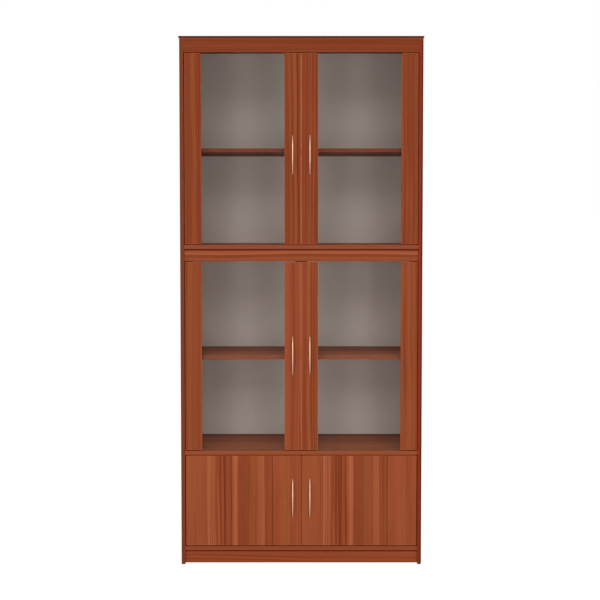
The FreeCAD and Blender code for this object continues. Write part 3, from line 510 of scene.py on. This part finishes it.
def box_of_faces(node, faces):
    """The corners of a node's box with every face that isn't named moved far away."""
    low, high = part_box(node)
    near = [low[axis] if f"-{letter}" in faces else -FAR_AWAY for axis, letter in enumerate("xyz")]
    far = [high[axis] if f"+{letter}" in faces else FAR_AWAY for axis, letter in enumerate("xyz")]
    return near, far


def faces_mask(place, node, faces, width):
    """1 on and beside the named faces of a node."""
    low, high = box_of_faces(node, faces)
    return place_group(near_faces, {"Vector": place, "Low": low, "High": high, "Width": width})["Near"]


def wood_ramp(level, colours):
    """The laminate's colour from its darkest at 0 to its lightest at 1."""
    ramp = add(level.id_data, "ShaderNodeValToRGB", {"Fac": level})
    stops = ramp.color_ramp.elements
    stops[0].position = 0.0
    stops[0].color = (*colours.wood_dark, 1)
    stops[1].position = 1.0
    stops[1].color = (*colours.wood_light, 1)
    stops.new(0.5).color = (*colours.wood, 1)
    return ramp.outputs["Color"]


def laminate(node, colours, grain, tone, offset, banded, band_colour, seams_and_shadows="", raw="", figured=False,
             painted_rear_shade=0.0):
    """Streaky laminate with edge bands and, where wanted, seams and painted shadow lines, raw edges, a
    figure, and painted shade towards the rear.
    """
    hue_chance = (0.1, 0.9)
    hue_range = (0.497, 0.503)
    pore_share = 0.3
    band_share = 0.85
    seam_and_shadow_share = 0.8
    flake_stretch = (1, 1, 0.6)

    finish, place, shader = new_finish(f"laminate_{node}")
    tree = finish.node_tree
    low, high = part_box(node)
    turn = (0, QUARTER_TURN, 0) if grain.along == "x" else (0, 0, 0)
    sheet = {"Vector": mapped(place, turn, offset), "Bands": grain.bands, "Wide": grain.wide}
    middle = 0.5 + tone
    if figured:
        figure = place_group(sheet_figure, {"Vector": place, "Left": low.x, "Width": high.x - low.x})
        sheet["Bunch"] = figure["Bunch"]
        middle = plus(figure["Tone"], middle)
    # Painted shade: the board darker towards its rear and lighter in front
    if painted_rear_shade:
        depth = axes_of(place)["Y"]
        middle = plus(remap(depth, low.y, high.y, painted_rear_shade / 2, -painted_rear_shade / 2), middle)
    veneer = place_group(straight_grain, sheet)
    level = plus(times(centred(veneer["Tone"]), grain.contrast), middle)
    redder = remap(veneer["Hue"], *hue_chance, *hue_range)
    tinted = {"Color": wood_ramp(level, colours), "Hue": redder}
    painted = add(tree, "ShaderNodeHueSaturation", tinted).outputs["Color"]
    painted = blend_colours(times(veneer["Pore"], pore_share), painted, colours.wood_line)
    band = faces_mask(place, node, banded, BAND_DEPTH)
    painted = blend_colours(times(band, band_share), painted, band_colour)
    # Dark lines along the front: seams, and painted shadow under a board that overhangs
    if seams_and_shadows:
        in_front = faces_mask(place, node, "-y", BAND_DEPTH)
        seam_and_shadow = times(faces_mask(place, node, seams_and_shadows, SEAM_AND_SHADOW_DEPTH), in_front)
        painted = blend_colours(times(seam_and_shadow, seam_and_shadow_share), painted, colours.wood_line)
    if raw:
        pressed = {"Vector": stretched(place, flake_stretch), "Scale": 320.0}
        flakes = add(tree, "ShaderNodeTexVoronoi", pressed).outputs["Distance"]
        chips = blend_colours(flakes, colours.core, colours.hardboard_stain)
        painted = blend_colours(faces_mask(place, node, raw, RAW_DEPTH), painted, chips)
    height = minus(veneer["Fibre"], veneer["Pore"])
    feed(shader, Base_Color=painted, Roughness=from_noise(veneer["Fibre"], start=0.58, end=0.46),
         Specular_IOR_Level=0.06, Normal=relief(height, depth=0.0001, strength=0.5))
    return finish


def backing(node, colours):
    """Grey foil in front; behind, stained hardboard with its wire mark, and dust and painted shade along its
    upper and lower edges.
    """
    foil_stretch = (1, 1, 0.35)
    cloud_share = 0.12
    speck_share = 0.1
    speck_range = (0.3, 0.7)
    stain_stretch = (1, 1, 0.5)
    stain_range = (0.35, 0.7)
    stain_share = 0.35

    finish, place, shader = new_finish(f"backing_{node}")
    low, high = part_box(node)
    rear = maths("GREATER_THAN", axes_of(place)["Y"], (low.y + high.y) / 2)
    foil = place_group(mottle, {"Vector": stretched(place, foil_stretch), "Scale": 5.0})
    tint = plus(times(foil["Cloud"], cloud_share), times(foil["Speck"], speck_share))
    front = blend_colours(tint, colours.back, darker(colours.back, share=0.55))
    bare = place_group(mottle, {"Vector": place, "Scale": 14.0})
    behind = blend_colours(remap(bare["Speck"], *speck_range), colours.hardboard,
                           darker(colours.hardboard, share=0.62))
    stains = place_group(mottle, {"Vector": stretched(place, stain_stretch), "Scale": 3.5})
    stained = remap(stains["Cloud"], *stain_range, 0.0, stain_share)
    behind = blend_colours(stained, behind, colours.hardboard_stain)
    # Dust and painted shade darken the upper and lower edges, along the joint between the panels
    dust_and_shade = faces_mask(place, node, "-z +z", DUST_AND_SHADE_DEPTH)
    behind = blend_colours(dust_and_shade, behind, darker(colours.hardboard_stain, share=0.3))
    wire = add(finish.node_tree, "ShaderNodeTexChecker", {"Vector": place, "Scale": 900.0}).outputs["Fac"]
    feed(shader, Base_Color=blend_colours(rear, front, behind), Specular_IOR_Level=0.15,
         Roughness=from_noise(foil["Speck"], start=0.55, end=0.7),
         Normal=relief(times(wire, rear), depth=0.0001, strength=0.3))
    return finish


def clear_glass(node, colours):
    """Clear glass, green through its cut edges, that lets the lamps' light pass."""
    finish, place, shader = new_finish(f"clear_{node}")
    tree = finish.node_tree
    cut = faces_mask(place, node, "-x +x -z +z", CUT_DEPTH)
    feed(shader, Base_Color=blend_colours(cut, colours.glass, colours.glass_edge), Roughness=0.0,
         IOR=1.12, Transmission_Weight=1.0)
    rays = add(tree, "ShaderNodeLightPath").outputs
    open_way = add(tree, "ShaderNodeBsdfTransparent", {"Color": (*colours.glass_shadow, 1)}).outputs[0]
    surface = shader.outputs[0]
    for kind in ("Is Shadow Ray", "Is Diffuse Ray"):
        surface = blend_shaders(rays[kind], surface, open_way)
    output = next(made for made in tree.nodes if made.type == "OUTPUT_MATERIAL")
    put(output.inputs["Surface"], surface)
    return finish


def metal(name, base, roughness, brush=(1, 1, 1), scale=60.0):
    """Plated or cast metal with soft clouds and, where it is brushed, streaks along one axis."""
    finish, place, shader = new_finish(name)
    marks = place_group(mottle, {"Vector": stretched(place, brush), "Scale": scale})
    tint = blend_colours(marks["Cloud"], darker(base, share=0.86), base)
    feed(shader, Base_Color=tint, Metallic=1.0,
         Roughness=from_noise(marks["Speck"], start=0.8 * roughness, end=1.2 * roughness),
         Normal=relief(marks["Speck"], depth=0.00005, strength=0.25))
    return finish


def plastic(name, base, roughness):
    """Moulded plastic with a fine texture."""
    finish, place, shader = new_finish(name)
    marks = place_group(mottle, {"Vector": place, "Scale": 90.0})
    tint = blend_colours(marks["Cloud"], darker(base, share=0.8), base)
    feed(shader, Base_Color=tint, Specular_IOR_Level=0.35,
         Roughness=from_noise(marks["Speck"], start=0.85 * roughness, end=1.15 * roughness),
         Normal=relief(marks["Speck"], depth=0.0001, strength=0.3))
    return finish


def turned_beech(name, base):
    """Pale dowel wood with its grain along X."""
    finish, place, shader = new_finish(name)
    turned = mapped(place, (0, QUARTER_TURN, 0))
    grain = place_group(straight_grain, {"Vector": turned, "Bands": 400.0, "Wide": 0.2})
    tint = blend_colours(grain["Tone"], darker(base, share=0.7), base)
    feed(shader, Base_Color=tint, Roughness=from_noise(grain["Fibre"], start=0.55, end=0.7))
    return finish


def lipping_finish(name, base):
    """Plain edge band with a faint grain along Z, whose colour is painted light and shade along the meeting
    line.
    """
    finish, place, shader = new_finish(name)
    grain = place_group(straight_grain, {"Vector": place, "Bands": 160.0, "Wide": 0.2})
    tint = blend_colours(grain["Tone"], darker(base, share=0.82), base)
    feed(shader, Base_Color=tint, Specular_IOR_Level=0.18,
         Roughness=from_noise(grain["Fibre"], start=0.5, end=0.4))
    return finish


def dress(node, finish):
    """Give a CAD node its finish."""
    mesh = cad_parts[node].data
    mesh.materials.clear()
    mesh.materials.append(finish)


# Meshes

def spread(low, high):
    """The matrix that carries a cube of side one to a box."""
    middle = (Vector(low) + Vector(high)) / 2
    return Matrix.Translation(middle) @ Matrix.Diagonal((*(Vector(high) - Vector(low)), 1))


def ends_of(edge):
    """The places of an edge's two ends, to the micrometre."""
    return [round(value, MICROMETRE_DIGITS) for vert in edge.verts for value in vert.co]


def block(shape, low, high, rounding=0.0, wanted=None):
    """A box with all its edges, or the wanted ones, rounded."""
    corners = bmesh.ops.create_cube(shape, size=1, matrix=spread(low, high))["verts"]
    if rounding:
        edges = {edge for corner in corners for edge in corner.link_edges}
        chosen = [edge for edge in edges if wanted is None or wanted(edge)]
        chosen.sort(key=ends_of)
        bmesh.ops.bevel(shape, geom=chosen, offset=rounding, offset_type="OFFSET", segments=2, profile=0.5,
                        affect="EDGES", material=-1)


def new_piece(name, shape, body, finish, smooth_below=0.0):
    """A finished mesh that rides on a body, smooth where its faces meet below an angle."""
    bmesh.ops.recalc_face_normals(shape, faces=shape.faces)
    mesh = bpy.data.meshes.new(name)
    shape.to_mesh(mesh)
    shape.free()
    mesh.shade_smooth()
    mesh.set_sharp_from_angle(angle=smooth_below)
    mesh.materials.append(finish)
    piece = bpy.data.objects.new(name, mesh)
    bpy.context.scene.collection.objects.link(piece)
    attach(piece, body)
    return piece


def loop_edges(ring):
    """The edges that join the points of one ring."""
    points = set(ring)
    touched = {edge for point in ring for edge in point.link_edges}
    return [edge for edge in touched if set(edge.verts) <= points]


def bow(shape, low, high, foot, bar, squareness):
    """A slim bow between two feet on the door, in section an oval drawn towards a box."""
    stations = 48
    half = (high.z - low.z) / 2
    reach = high.y - low.y
    middle = (low + high) / 2
    width = (high.x - low.x) / 2
    arcs = []
    for span, rise in ((half, reach), (half - foot, reach - bar)):
        radius = (span * span + rise * rise) / (2 * rise)
        arcs.append((radius, rise, math.asin(span / radius)))
    before = None
    for step in range(stations + 1):
        along = 2 * step / stations - 1
        points = []
        for radius, rise, sweep in arcs:
            turn = sweep * along
            depth = rise - radius + radius * math.cos(turn)
            points.append(Vector((middle.x, high.y - depth, middle.z + radius * math.sin(turn))))
        centre = (points[0] + points[1]) / 2
        thick = (points[0] - points[1]) / 2
        section = Matrix(((width, thick.x, 0, centre.x), (0, thick.y, 0, centre.y), (0, thick.z, 1, centre.z),
                          (0, 0, 0, 1)))
        at_foot = step in (0, stations)
        ring = bmesh.ops.create_circle(shape, cap_ends=at_foot, segments=32, radius=1)["verts"]
        for point in ring:
            for axis in range(2):
                point.co[axis] = math.copysign(abs(point.co[axis]) ** (1 - squareness), point.co[axis])
        bmesh.ops.transform(shape, matrix=section, verts=ring)
        if before:
            bmesh.ops.bridge_loops(shape, edges=loop_edges(before) + loop_edges(ring))
        before = ring


def cross_head(shape, radius, height, recess, matrix):
    """A domed screw head with a cross in it, its base at the matrix's origin and its top along Z."""
    arm = 0.62 * radius
    slot = 0.16 * radius
    sides = 12
    # Radius and height of each ring of the dome, in shares of the head's
    dome = ((0.75, 0.97), (0.92, 0.7), (1.0, 0.3), (1.0, 0.0))
    grid = bmesh.ops.create_grid(shape, x_segments=3, y_segments=3, size=1)["verts"]
    for vert in grid:
        for axis in range(2):
            outer = abs(vert.co[axis]) > 0.5
            vert.co[axis] = math.copysign(arm if outer else slot, vert.co[axis])
        vert.co.z = height
    corners = [vert for vert in grid if len(vert.link_faces) == 1]
    bmesh.ops.delete(shape, geom=corners, context="VERTS")
    cross = [vert for vert in grid if vert.is_valid]
    faces = list({face for vert in cross for face in vert.link_faces})
    rim = [edge for edge in {edge for face in faces for edge in face.edges} if len(edge.link_faces) == 1]
    rings = []
    half_side = Matrix.Rotation(math.pi / sides, 4, "Z")
    for share, level in dome:
        place = Matrix.Translation((0, 0, level * height)) @ half_side
        ring = bmesh.ops.create_circle(shape, segments=sides, radius=share * radius, matrix=place)["verts"]
        rings.append(ring)
    bmesh.ops.bridge_loops(shape, edges=rim + loop_edges(rings[0]))
    for inner, outer in zip(rings, rings[1:]):
        bmesh.ops.bridge_loops(shape, edges=loop_edges(inner) + loop_edges(outer))
    bmesh.ops.contextual_create(shape, geom=loop_edges(rings[-1]))
    sunk = bmesh.ops.extrude_face_region(shape, geom=faces)["geom"]
    floor = [part for part in sunk if isinstance(part, bmesh.types.BMVert)]
    bmesh.ops.delete(shape, geom=faces, context="FACES_ONLY")
    bmesh.ops.translate(shape, verts=floor, vec=(0, 0, -recess))
    made = set(floor) | {vert for vert in cross if vert.is_valid} | {vert for ring in rings for vert in ring}
    bmesh.ops.transform(shape, matrix=matrix, verts=list(made))


def facing(place, towards):
    """A matrix at a place whose Z points towards +Y or down."""
    turns = {"+y": (-QUARTER_TURN, 0, 0), "-z": (HALF_TURN, 0, 0)}
    return Matrix.Translation(place) @ Euler(turns[towards]).to_matrix().to_4x4()


# Operators

class BOOKCASE_OT_carcass(Operator):
    """Give the carcass boards and shelves their laminate, edge bands and raw rear edges"""

    bl_idname = "bookcase.carcass"
    bl_label = "Carcass boards"

    def execute(self, context):
        colours = context.scene.bookcase_colours
        # Node, grain, tone, faces with edge bands, faces with a dark line beside them, raw faces. The tones
        # are partly painted shade and light: darker near the top and on the upper shelf, lighter on the inner
        # floors. The dark lines are seams at the top and at the right side's outer edge, and painted shadow
        # under the middle and bottom panels
        boards = (
            ("left_side_panel", UPRIGHT, -0.03, "-y", "", "+y -z"),
            ("right_side_panel", UPRIGHT, 0.0, "-y", "+x", "+y -z"),
            ("top_panel", CALM, -0.34, "", "+z", "+y"),
            ("top_rail", CALM, -0.36, "-z", "", ""),
            ("middle_panel", LEVEL, 0.0, "-y", "", ""),
            ("middle_rail", RAIL, -0.08, "-z", "+z", ""),
            ("lower_panel", FLOOR, 0.2, "-y", "", ""),
            ("bottom_panel", LEVEL, 0.02, "-y", "", ""),
            ("front_plinth", LEVEL, -0.06, "-z", "+z", ""),
            ("rear_plinth", LEVEL, -0.06, "-z", "", "+y"),
            ("upper_shelf", LEVEL, -0.5, "-y", "", ""),
            ("lower_shelf", FLOOR, 0.2, "-y", "", ""),
        )
        # Painted shade on the front edges of the sides and shelves
        edge_bands_with_painted_light = {"left_side_panel": colours.left_band, "right_side_panel": colours.right_band,
                      "upper_shelf": colours.upper_band, "lower_shelf": colours.lower_band}
        across, along = BOARD_STEPS
        for number, (node, grain, tone, banded, seams_and_shadows, raw) in enumerate(boards, start=1):
            offset = (across * number, 0.0, along * number)
            edge_band = edge_bands_with_painted_light.get(node, colours.band)
            dress(node, laminate(node, colours, grain, tone, offset, banded, edge_band, seams_and_shadows, raw,
                                 painted_rear_shade=PAINTED_REAR_SHADE.get(node, 0.0)))
        return {"FINISHED"}


class BOOKCASE_OT_back_panels(Operator):
    """Give the back panels their foil in front and bare board behind"""

    bl_idname = "bookcase.back_panels"
    bl_label = "Back panels"

    def execute(self, context):
        for node in ("upper_back_panel", "lower_back_panel"):
            dress(node, backing(node, context.scene.bookcase_colours))
        return {"FINISHED"}


class BOOKCASE_OT_door_boards(Operator):
    """Give the stiles and the wooden doors their upright laminate, and edge bands painted lighter as a
    painted highlight and painted light in the gaps
    """

    bl_idname = "bookcase.door_boards"
    bl_label = "Stiles and wooden doors"

    def execute(self, context):
        colours = context.scene.bookcase_colours
        across, along = STILE_STEPS
        for number, door in enumerate(DOORS):
            glazed = door in GLAZED_DOORS
            leaf = ("hinge_stile", "pull_stile") if glazed else ("panel",)
            tone = ROW_TONES_WITH_SHADE[door.split("_")[0]]
            for place, part in enumerate(leaf):
                node = f"{door}_{part}"
                if glazed:
                    offset = (across * number + PULL_STILE_STEP * place, 0.0, along * number)
                else:
                    offset = (SHEET_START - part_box(node)[0].x, 0.0, SHEET_STEP * number)
                dress(node, laminate(node, colours, STILE if glazed else SHEET, tone, offset, "-x +x -z +z",
                                     colours.door_edge, figured=not glazed))
        return {"FINISHED"}


class BOOKCASE_OT_panes(Operator):
    """Replace the plain panes by ones with ground edges"""

    bl_idname = "bookcase.panes"
    bl_label = "Glass panes"

    def execute(self, context):
        sizes = context.scene.bookcase_sizes
        for door in GLAZED_DOORS:
            node = f"{door}_glass"
            low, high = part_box(node)
            shape = bmesh.new()
            block(shape, low, high, sizes.pane_arris)
            pane = new_piece(f"{door}_pane", shape, f"{door}_door",
                             clear_glass(node, context.scene.bookcase_colours))
            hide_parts(node)
        return {"FINISHED"}


class BOOKCASE_OT_handles(Operator):
    """Replace the handles by smooth bows"""

    bl_idname = "bookcase.handles"
    bl_label = "Bow handles"

    def execute(self, context):
        sizes = context.scene.bookcase_sizes
        nickel = context.scene.bookcase_colours.nickel
        finish = metal("satin_nickel", nickel, roughness=0.4, brush=(30, 30, 1))
        for door in DOORS:
            low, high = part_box(f"{door}_handle")
            shape = bmesh.new()
            bow(shape, low, high, sizes.handle_foot, sizes.handle_bar, sizes.handle_squareness)
            handle = new_piece(f"{door}_bow", shape, f"{door}_door", finish, SOFT_ANGLE)
            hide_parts(f"{door}_handle")
        return {"FINISHED"}


class BOOKCASE_OT_handle_screws(Operator):
    """Replace the handle screws by ones with a domed, crossed head"""

    bl_idname = "bookcase.handle_screws"
    bl_label = "Handle screws"

    def execute(self, context):
        sizes = context.scene.bookcase_sizes
        finish = metal("plated_screws", context.scene.bookcase_colours.steel, roughness=0.25)
        for door in DOORS:
            node = f"{door}_handle_screws"
            low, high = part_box(node)
            leaf = f"{door}_pull_stile" if door in GLAZED_DOORS else f"{door}_panel"
            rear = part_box(leaf)[1].y
            radius = (high.x - low.x) / 2
            shape = bmesh.new()
            for level in (low.z + radius, high.z - radius):
                place = Vector(((low.x + high.x) / 2, rear, level))
                cross_head(shape, radius, high.y - rear, sizes.screw_recess, facing(place, "+y"))
                shank = facing((place.x, (low.y + rear) / 2, level), "+y")
                bmesh.ops.create_cone(shape, cap_ends=True, segments=16, depth=rear - low.y, matrix=shank,
                                      radius1=radius / 2, radius2=radius / 2)
            screws = new_piece(f"{door}_screws", shape, f"{door}_door", finish, SOFT_ANGLE)
            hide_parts(node)
        return {"FINISHED"}


class BOOKCASE_OT_lippings(Operator):
    """Add the strip on the meeting edge of each right door: a painted highlight on the glazed doors and a
    painted shadow line on the wooden ones
    """

    bl_idname = "bookcase.lippings"
    bl_label = "Meeting strips"

    def execute(self, context):
        sizes = context.scene.bookcase_sizes
        colours = context.scene.bookcase_colours
        glazed = lipping_finish("glazed_strip_highlight", colours.lipping)
        wooden = lipping_finish("wooden_strip_shadow", colours.wood_dark)
        for row in ROWS:
            part = "panel" if row == "cupboard" else "pull_stile"
            low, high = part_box(f"{row}_right_{part}")
            edge = Vector((low.x - sizes.lipping, low.y, low.z))
            shape = bmesh.new()
            block(shape, edge, (low.x, high.y, high.z), sizes.lipping_round,
                  lambda bent: all(vert.co.y < low.y + sizes.lipping_round for vert in bent.verts))
            new_piece(f"{row}_meeting_strip_painted_light", shape, f"{row}_right_door",
                      wooden if row == "cupboard" else glazed)
        return {"FINISHED"}


class BOOKCASE_OT_fittings(Operator):
    """Give pins, bushes, feet, cams, bolts, dowels, pivots, strike plates and catches their finishes"""

    bl_idname = "bookcase.fittings"
    bl_label = "Fittings"

    def execute(self, context):
        colours = context.scene.bookcase_colours
        steel = metal("bright_steel", colours.steel, roughness=0.28)
        bronzed = metal("bronzed_steel", colours.bronzed, roughness=0.4)
        finishes = {
            "shelf_pins": steel,
            "cam_bolts": steel,
            "cam_locks": metal("cast_zinc", colours.zinc, roughness=0.45, scale=120.0),
            "pivot_bushes": plastic("nylon", colours.nylon, roughness=0.4),
            "glide_feet": plastic("black_plastic", colours.black_plastic, roughness=0.5),
            "magnetic_catches": plastic("brown_plastic", colours.brown_plastic, roughness=0.4),
            "dowels": turned_beech("beech", colours.beech),
        }
        for door in DOORS:
            finishes[f"{door}_pivots"] = bronzed
            finishes[f"{door}_strike_plate"] = steel
        for node, finish in finishes.items():
            dress(node, finish)
        return {"FINISHED"}


class BOOKCASE_OT_strike_screws(Operator):
    """Add the small screw that holds each strike plate"""

    bl_idname = "bookcase.strike_screws"
    bl_label = "Strike plate screws"

    def execute(self, context):
        sizes = context.scene.bookcase_sizes
        finish = metal("strike_screws", context.scene.bookcase_colours.steel, roughness=0.3)
        for door in DOORS:
            low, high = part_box(f"{door}_strike_plate")
            middle = (low + high) / 2
            shape = bmesh.new()
            thick = high.y - low.y
            fixing = facing((middle.x, low.y, middle.z), "+y")
            cross_head(shape, sizes.strike_screw, thick, thick / 2, fixing)
            new_piece(f"{door}_strike_screw", shape, f"{door}_door", finish, SOFT_ANGLE)
        return {"FINISHED"}


class BOOKCASE_OT_catch_details(Operator):
    """Add the steel poles of the magnetic catches and the screws that hold them"""

    bl_idname = "bookcase.catch_details"
    bl_label = "Catch poles and screws"

    def execute(self, context):
        sizes = context.scene.bookcase_sizes
        colours = context.scene.bookcase_colours
        low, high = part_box("magnetic_catches")
        poles = bmesh.new()
        screws = bmesh.new()
        head = sizes.catch_screw_head
        for node in ("top_rail", "middle_rail", "lower_panel"):
            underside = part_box(node)[0].z
            for side in (-1, 1):
                self.pole_pair(poles, sizes, side * high.x / 2, low.y, underside - sizes.catch_nose / 2)
                across = side * (high.x - sizes.catch_screw_inset)
                if node == "lower_panel":
                    depth = low.y + sizes.catch_nose + sizes.catch_reach / 2
                    fixing = facing((across, depth, underside - sizes.catch_flange), "-z")
                else:
                    level = underside + sizes.catch_reach / 2
                    fixing = facing((across, low.y + sizes.catch_flange, level), "+y")
                cross_head(screws, sizes.catch_screw, head, head / 2, fixing)
        steel = metal("catch_poles", colours.steel, roughness=0.35)
        new_piece("catch_poles", poles, "carcass", steel)
        new_piece("catch_screws", screws, "carcass", steel, SOFT_ANGLE)
        return {"FINISHED"}

    def pole_pair(self, shape, sizes, across, front, level):
        """Two steel bars, one above the other, just out of the face of a catch."""
        half = sizes.pole_length / 2
        for side in (-1, 1):
            middle = level + side * (sizes.pole_gap + sizes.pole_height) / 2
            block(shape, (across - half, front - sizes.pole_proud, middle - sizes.pole_height / 2),
                  (across + half, front + sizes.pole_height, middle + sizes.pole_height / 2))


class BOOKCASE_OT_tacks(Operator):
    """Add the rows of tacks that fix the back panels to the boards"""

    bl_idname = "bookcase.tacks"
    bl_label = "Back panel tacks"

    def execute(self, context):
        sizes = context.scene.bookcase_sizes
        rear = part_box("lower_back_panel")[1].y
        low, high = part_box("middle_panel")
        quarter = (high.z - low.z) / 4
        levels = [sum(corner.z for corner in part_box(node)) / 2 for node in ("bottom_panel", "lower_panel")]
        levels += [low.z + quarter, high.z - quarter]
        reach = high.x - sizes.tack_inset
        crown = 0.6 * sizes.tack_radius
        shape = bmesh.new()
        for level in levels:
            for step in range(sizes.tacks):
                across = reach * (2 * step / (sizes.tacks - 1) - 1)
                head = facing((across, rear + sizes.tack_head / 2, level), "+y")
                bmesh.ops.create_cone(shape, cap_ends=True, segments=14, radius1=sizes.tack_radius,
                                      radius2=crown, depth=sizes.tack_head, matrix=head)
        finish = metal("tacks", context.scene.bookcase_colours.steel, roughness=0.4)
        new_piece("back_tacks", shape, "carcass", finish)
        return {"FINISHED"}


class BOOKCASE_OT_stage(Operator):
    """Set up the floor, the room, the soft light and the camera"""

    bl_idname = "bookcase.stage"
    bl_label = "Stage"

    def execute(self, context):
        scene = context.scene
        stage = scene.bookcase_stage
        scene.view_settings.view_transform = "Standard"
        self.floor(scene, stage)
        self.room(scene, stage)
        self.lamps(scene, stage)
        self.camera(scene, stage)
        return {"FINISHED"}

    def seen_rays(self, tree):
        """1 for rays that show the surroundings: to the camera, in a reflection or through glass."""
        rays = add(tree, "ShaderNodeLightPath").outputs
        both = maths("MAXIMUM", rays["Is Camera Ray"], rays["Is Glossy Ray"])
        return maths("MAXIMUM", both, rays["Is Transmission Ray"])

    def floor(self, scene, stage):
        """A wide pale floor that keeps the shadow."""
        finish = bpy.data.materials.new("pale_floor")
        tree = empty_tree(finish)
        matt = add(tree, "ShaderNodeBsdfDiffuse", {"Color": (*stage.floor_colour, 1)}).outputs[0]
        glow = add(tree, "ShaderNodeEmission", {"Strength": stage.floor_white}).outputs[0]
        share = times(self.seen_rays(tree), stage.floor_glow)
        add(tree, "ShaderNodeOutputMaterial", {"Surface": blend_shaders(share, matt, glow)})
        shape = bmesh.new()
        bmesh.ops.create_grid(shape, x_segments=1, y_segments=1, size=stage.floor_reach)
        mesh = bpy.data.meshes.new("floor")
        shape.to_mesh(mesh)
        shape.free()
        mesh.materials.append(finish)
        floor = bpy.data.objects.new("floor", mesh)
        scene.collection.objects.link(floor)

    def room(self, scene, stage):
        """Even light all round, seen as white."""
        scene.world = bpy.data.worlds.new("studio")
        tree = empty_tree(scene.world)
        lights = [add(tree, "ShaderNodeBackground", {"Color": (1, 1, 1, 1), "Strength": strength}).outputs[0]
                  for strength in (stage.room_light, stage.room_white)]
        both = blend_shaders(self.seen_rays(tree), *lights)
        add(tree, "ShaderNodeOutputWorld", {"Surface": both})

    def lamps(self, scene, stage):
        """Large soft lights in front: one above the camera and one on either side."""
        self.lamp(scene, "key", stage.key_power, (stage.key_size, stage.key_size), stage.key_place, stage.aim)
        size = (stage.fill_width, stage.fill_height)
        for name, side in (("left_fill", -1), ("right_fill", 1)):
            place = stage.fill_place * Vector((side, 1, 1))
            self.lamp(scene, name, stage.fill_power, size, place, stage.aim)

    def lamp(self, scene, name, power, size, place, aim):
        """A soft light at one place, turned to another."""
        light = bpy.data.lights.new(name, "AREA")
        light.energy = power
        light.shape = "RECTANGLE"
        light.size, light.size_y = size
        lamp = bpy.data.objects.new(name, light)
        lamp.location = place
        lamp.rotation_euler = (aim - lamp.location).to_track_quat("-Z", "Y").to_euler()
        scene.collection.objects.link(lamp)

    def camera(self, scene, stage):
        """The camera at the photograph's viewing angle."""
        lens = bpy.data.cameras.new("camera")
        lens.sensor_width = SENSOR_MILLIMETRES
        lens.lens = stage.camera_lens
        lens.shift_y = stage.camera_shift
        camera = bpy.data.objects.new("camera", lens)
        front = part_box("left_side_panel")[0].y
        camera.location = (-stage.camera_x, front - stage.camera_distance, stage.camera_height)
        camera.rotation_euler = (QUARTER_TURN - stage.camera_pitch, 0, 0)
        scene.collection.objects.link(camera)
        scene.camera = camera


OPERATORS = (
    BOOKCASE_OT_carcass, BOOKCASE_OT_back_panels, BOOKCASE_OT_door_boards, BOOKCASE_OT_panes,
    BOOKCASE_OT_handles, BOOKCASE_OT_handle_screws, BOOKCASE_OT_lippings, BOOKCASE_OT_fittings,
    BOOKCASE_OT_strike_screws, BOOKCASE_OT_catch_details, BOOKCASE_OT_tacks, BOOKCASE_OT_stage,
)


class BOOKCASE_PT_sidebar(Panel):
    """The bookcase's pieces in the order that they are made"""

    bl_label = "Bookcase"
    bl_idname = "BOOKCASE_PT_sidebar"
    bl_space_type = "VIEW_3D"
    bl_region_type = "UI"
    bl_category = "Bookcase"

    def draw(self, context):
        for operator in OPERATORS:
            self.layout.operator(operator.bl_idname)


CLASSES = (BookcaseColours, BookcaseSizes, BookcaseStage, *OPERATORS, BOOKCASE_PT_sidebar)


def register():
    """Add the classes and their properties to Blender."""
    for kind in CLASSES:
        bpy.utils.register_class(kind)
    Scene.bookcase_colours = PointerProperty(type=BookcaseColours)
    Scene.bookcase_sizes = PointerProperty(type=BookcaseSizes)
    Scene.bookcase_stage = PointerProperty(type=BookcaseStage)


def unregister():
    """Take the properties and classes out again."""
    del Scene.bookcase_stage
    del Scene.bookcase_sizes
    del Scene.bookcase_colours
    for kind in reversed(CLASSES):
        bpy.utils.unregister_class(kind)


def main():
    """Make every piece and the stage."""
    register()
    for operator in OPERATORS:
        group, name = operator.bl_idname.split(".")
        getattr(getattr(bpy.ops, group), name)()


if __name__ == "__main__":
    main()
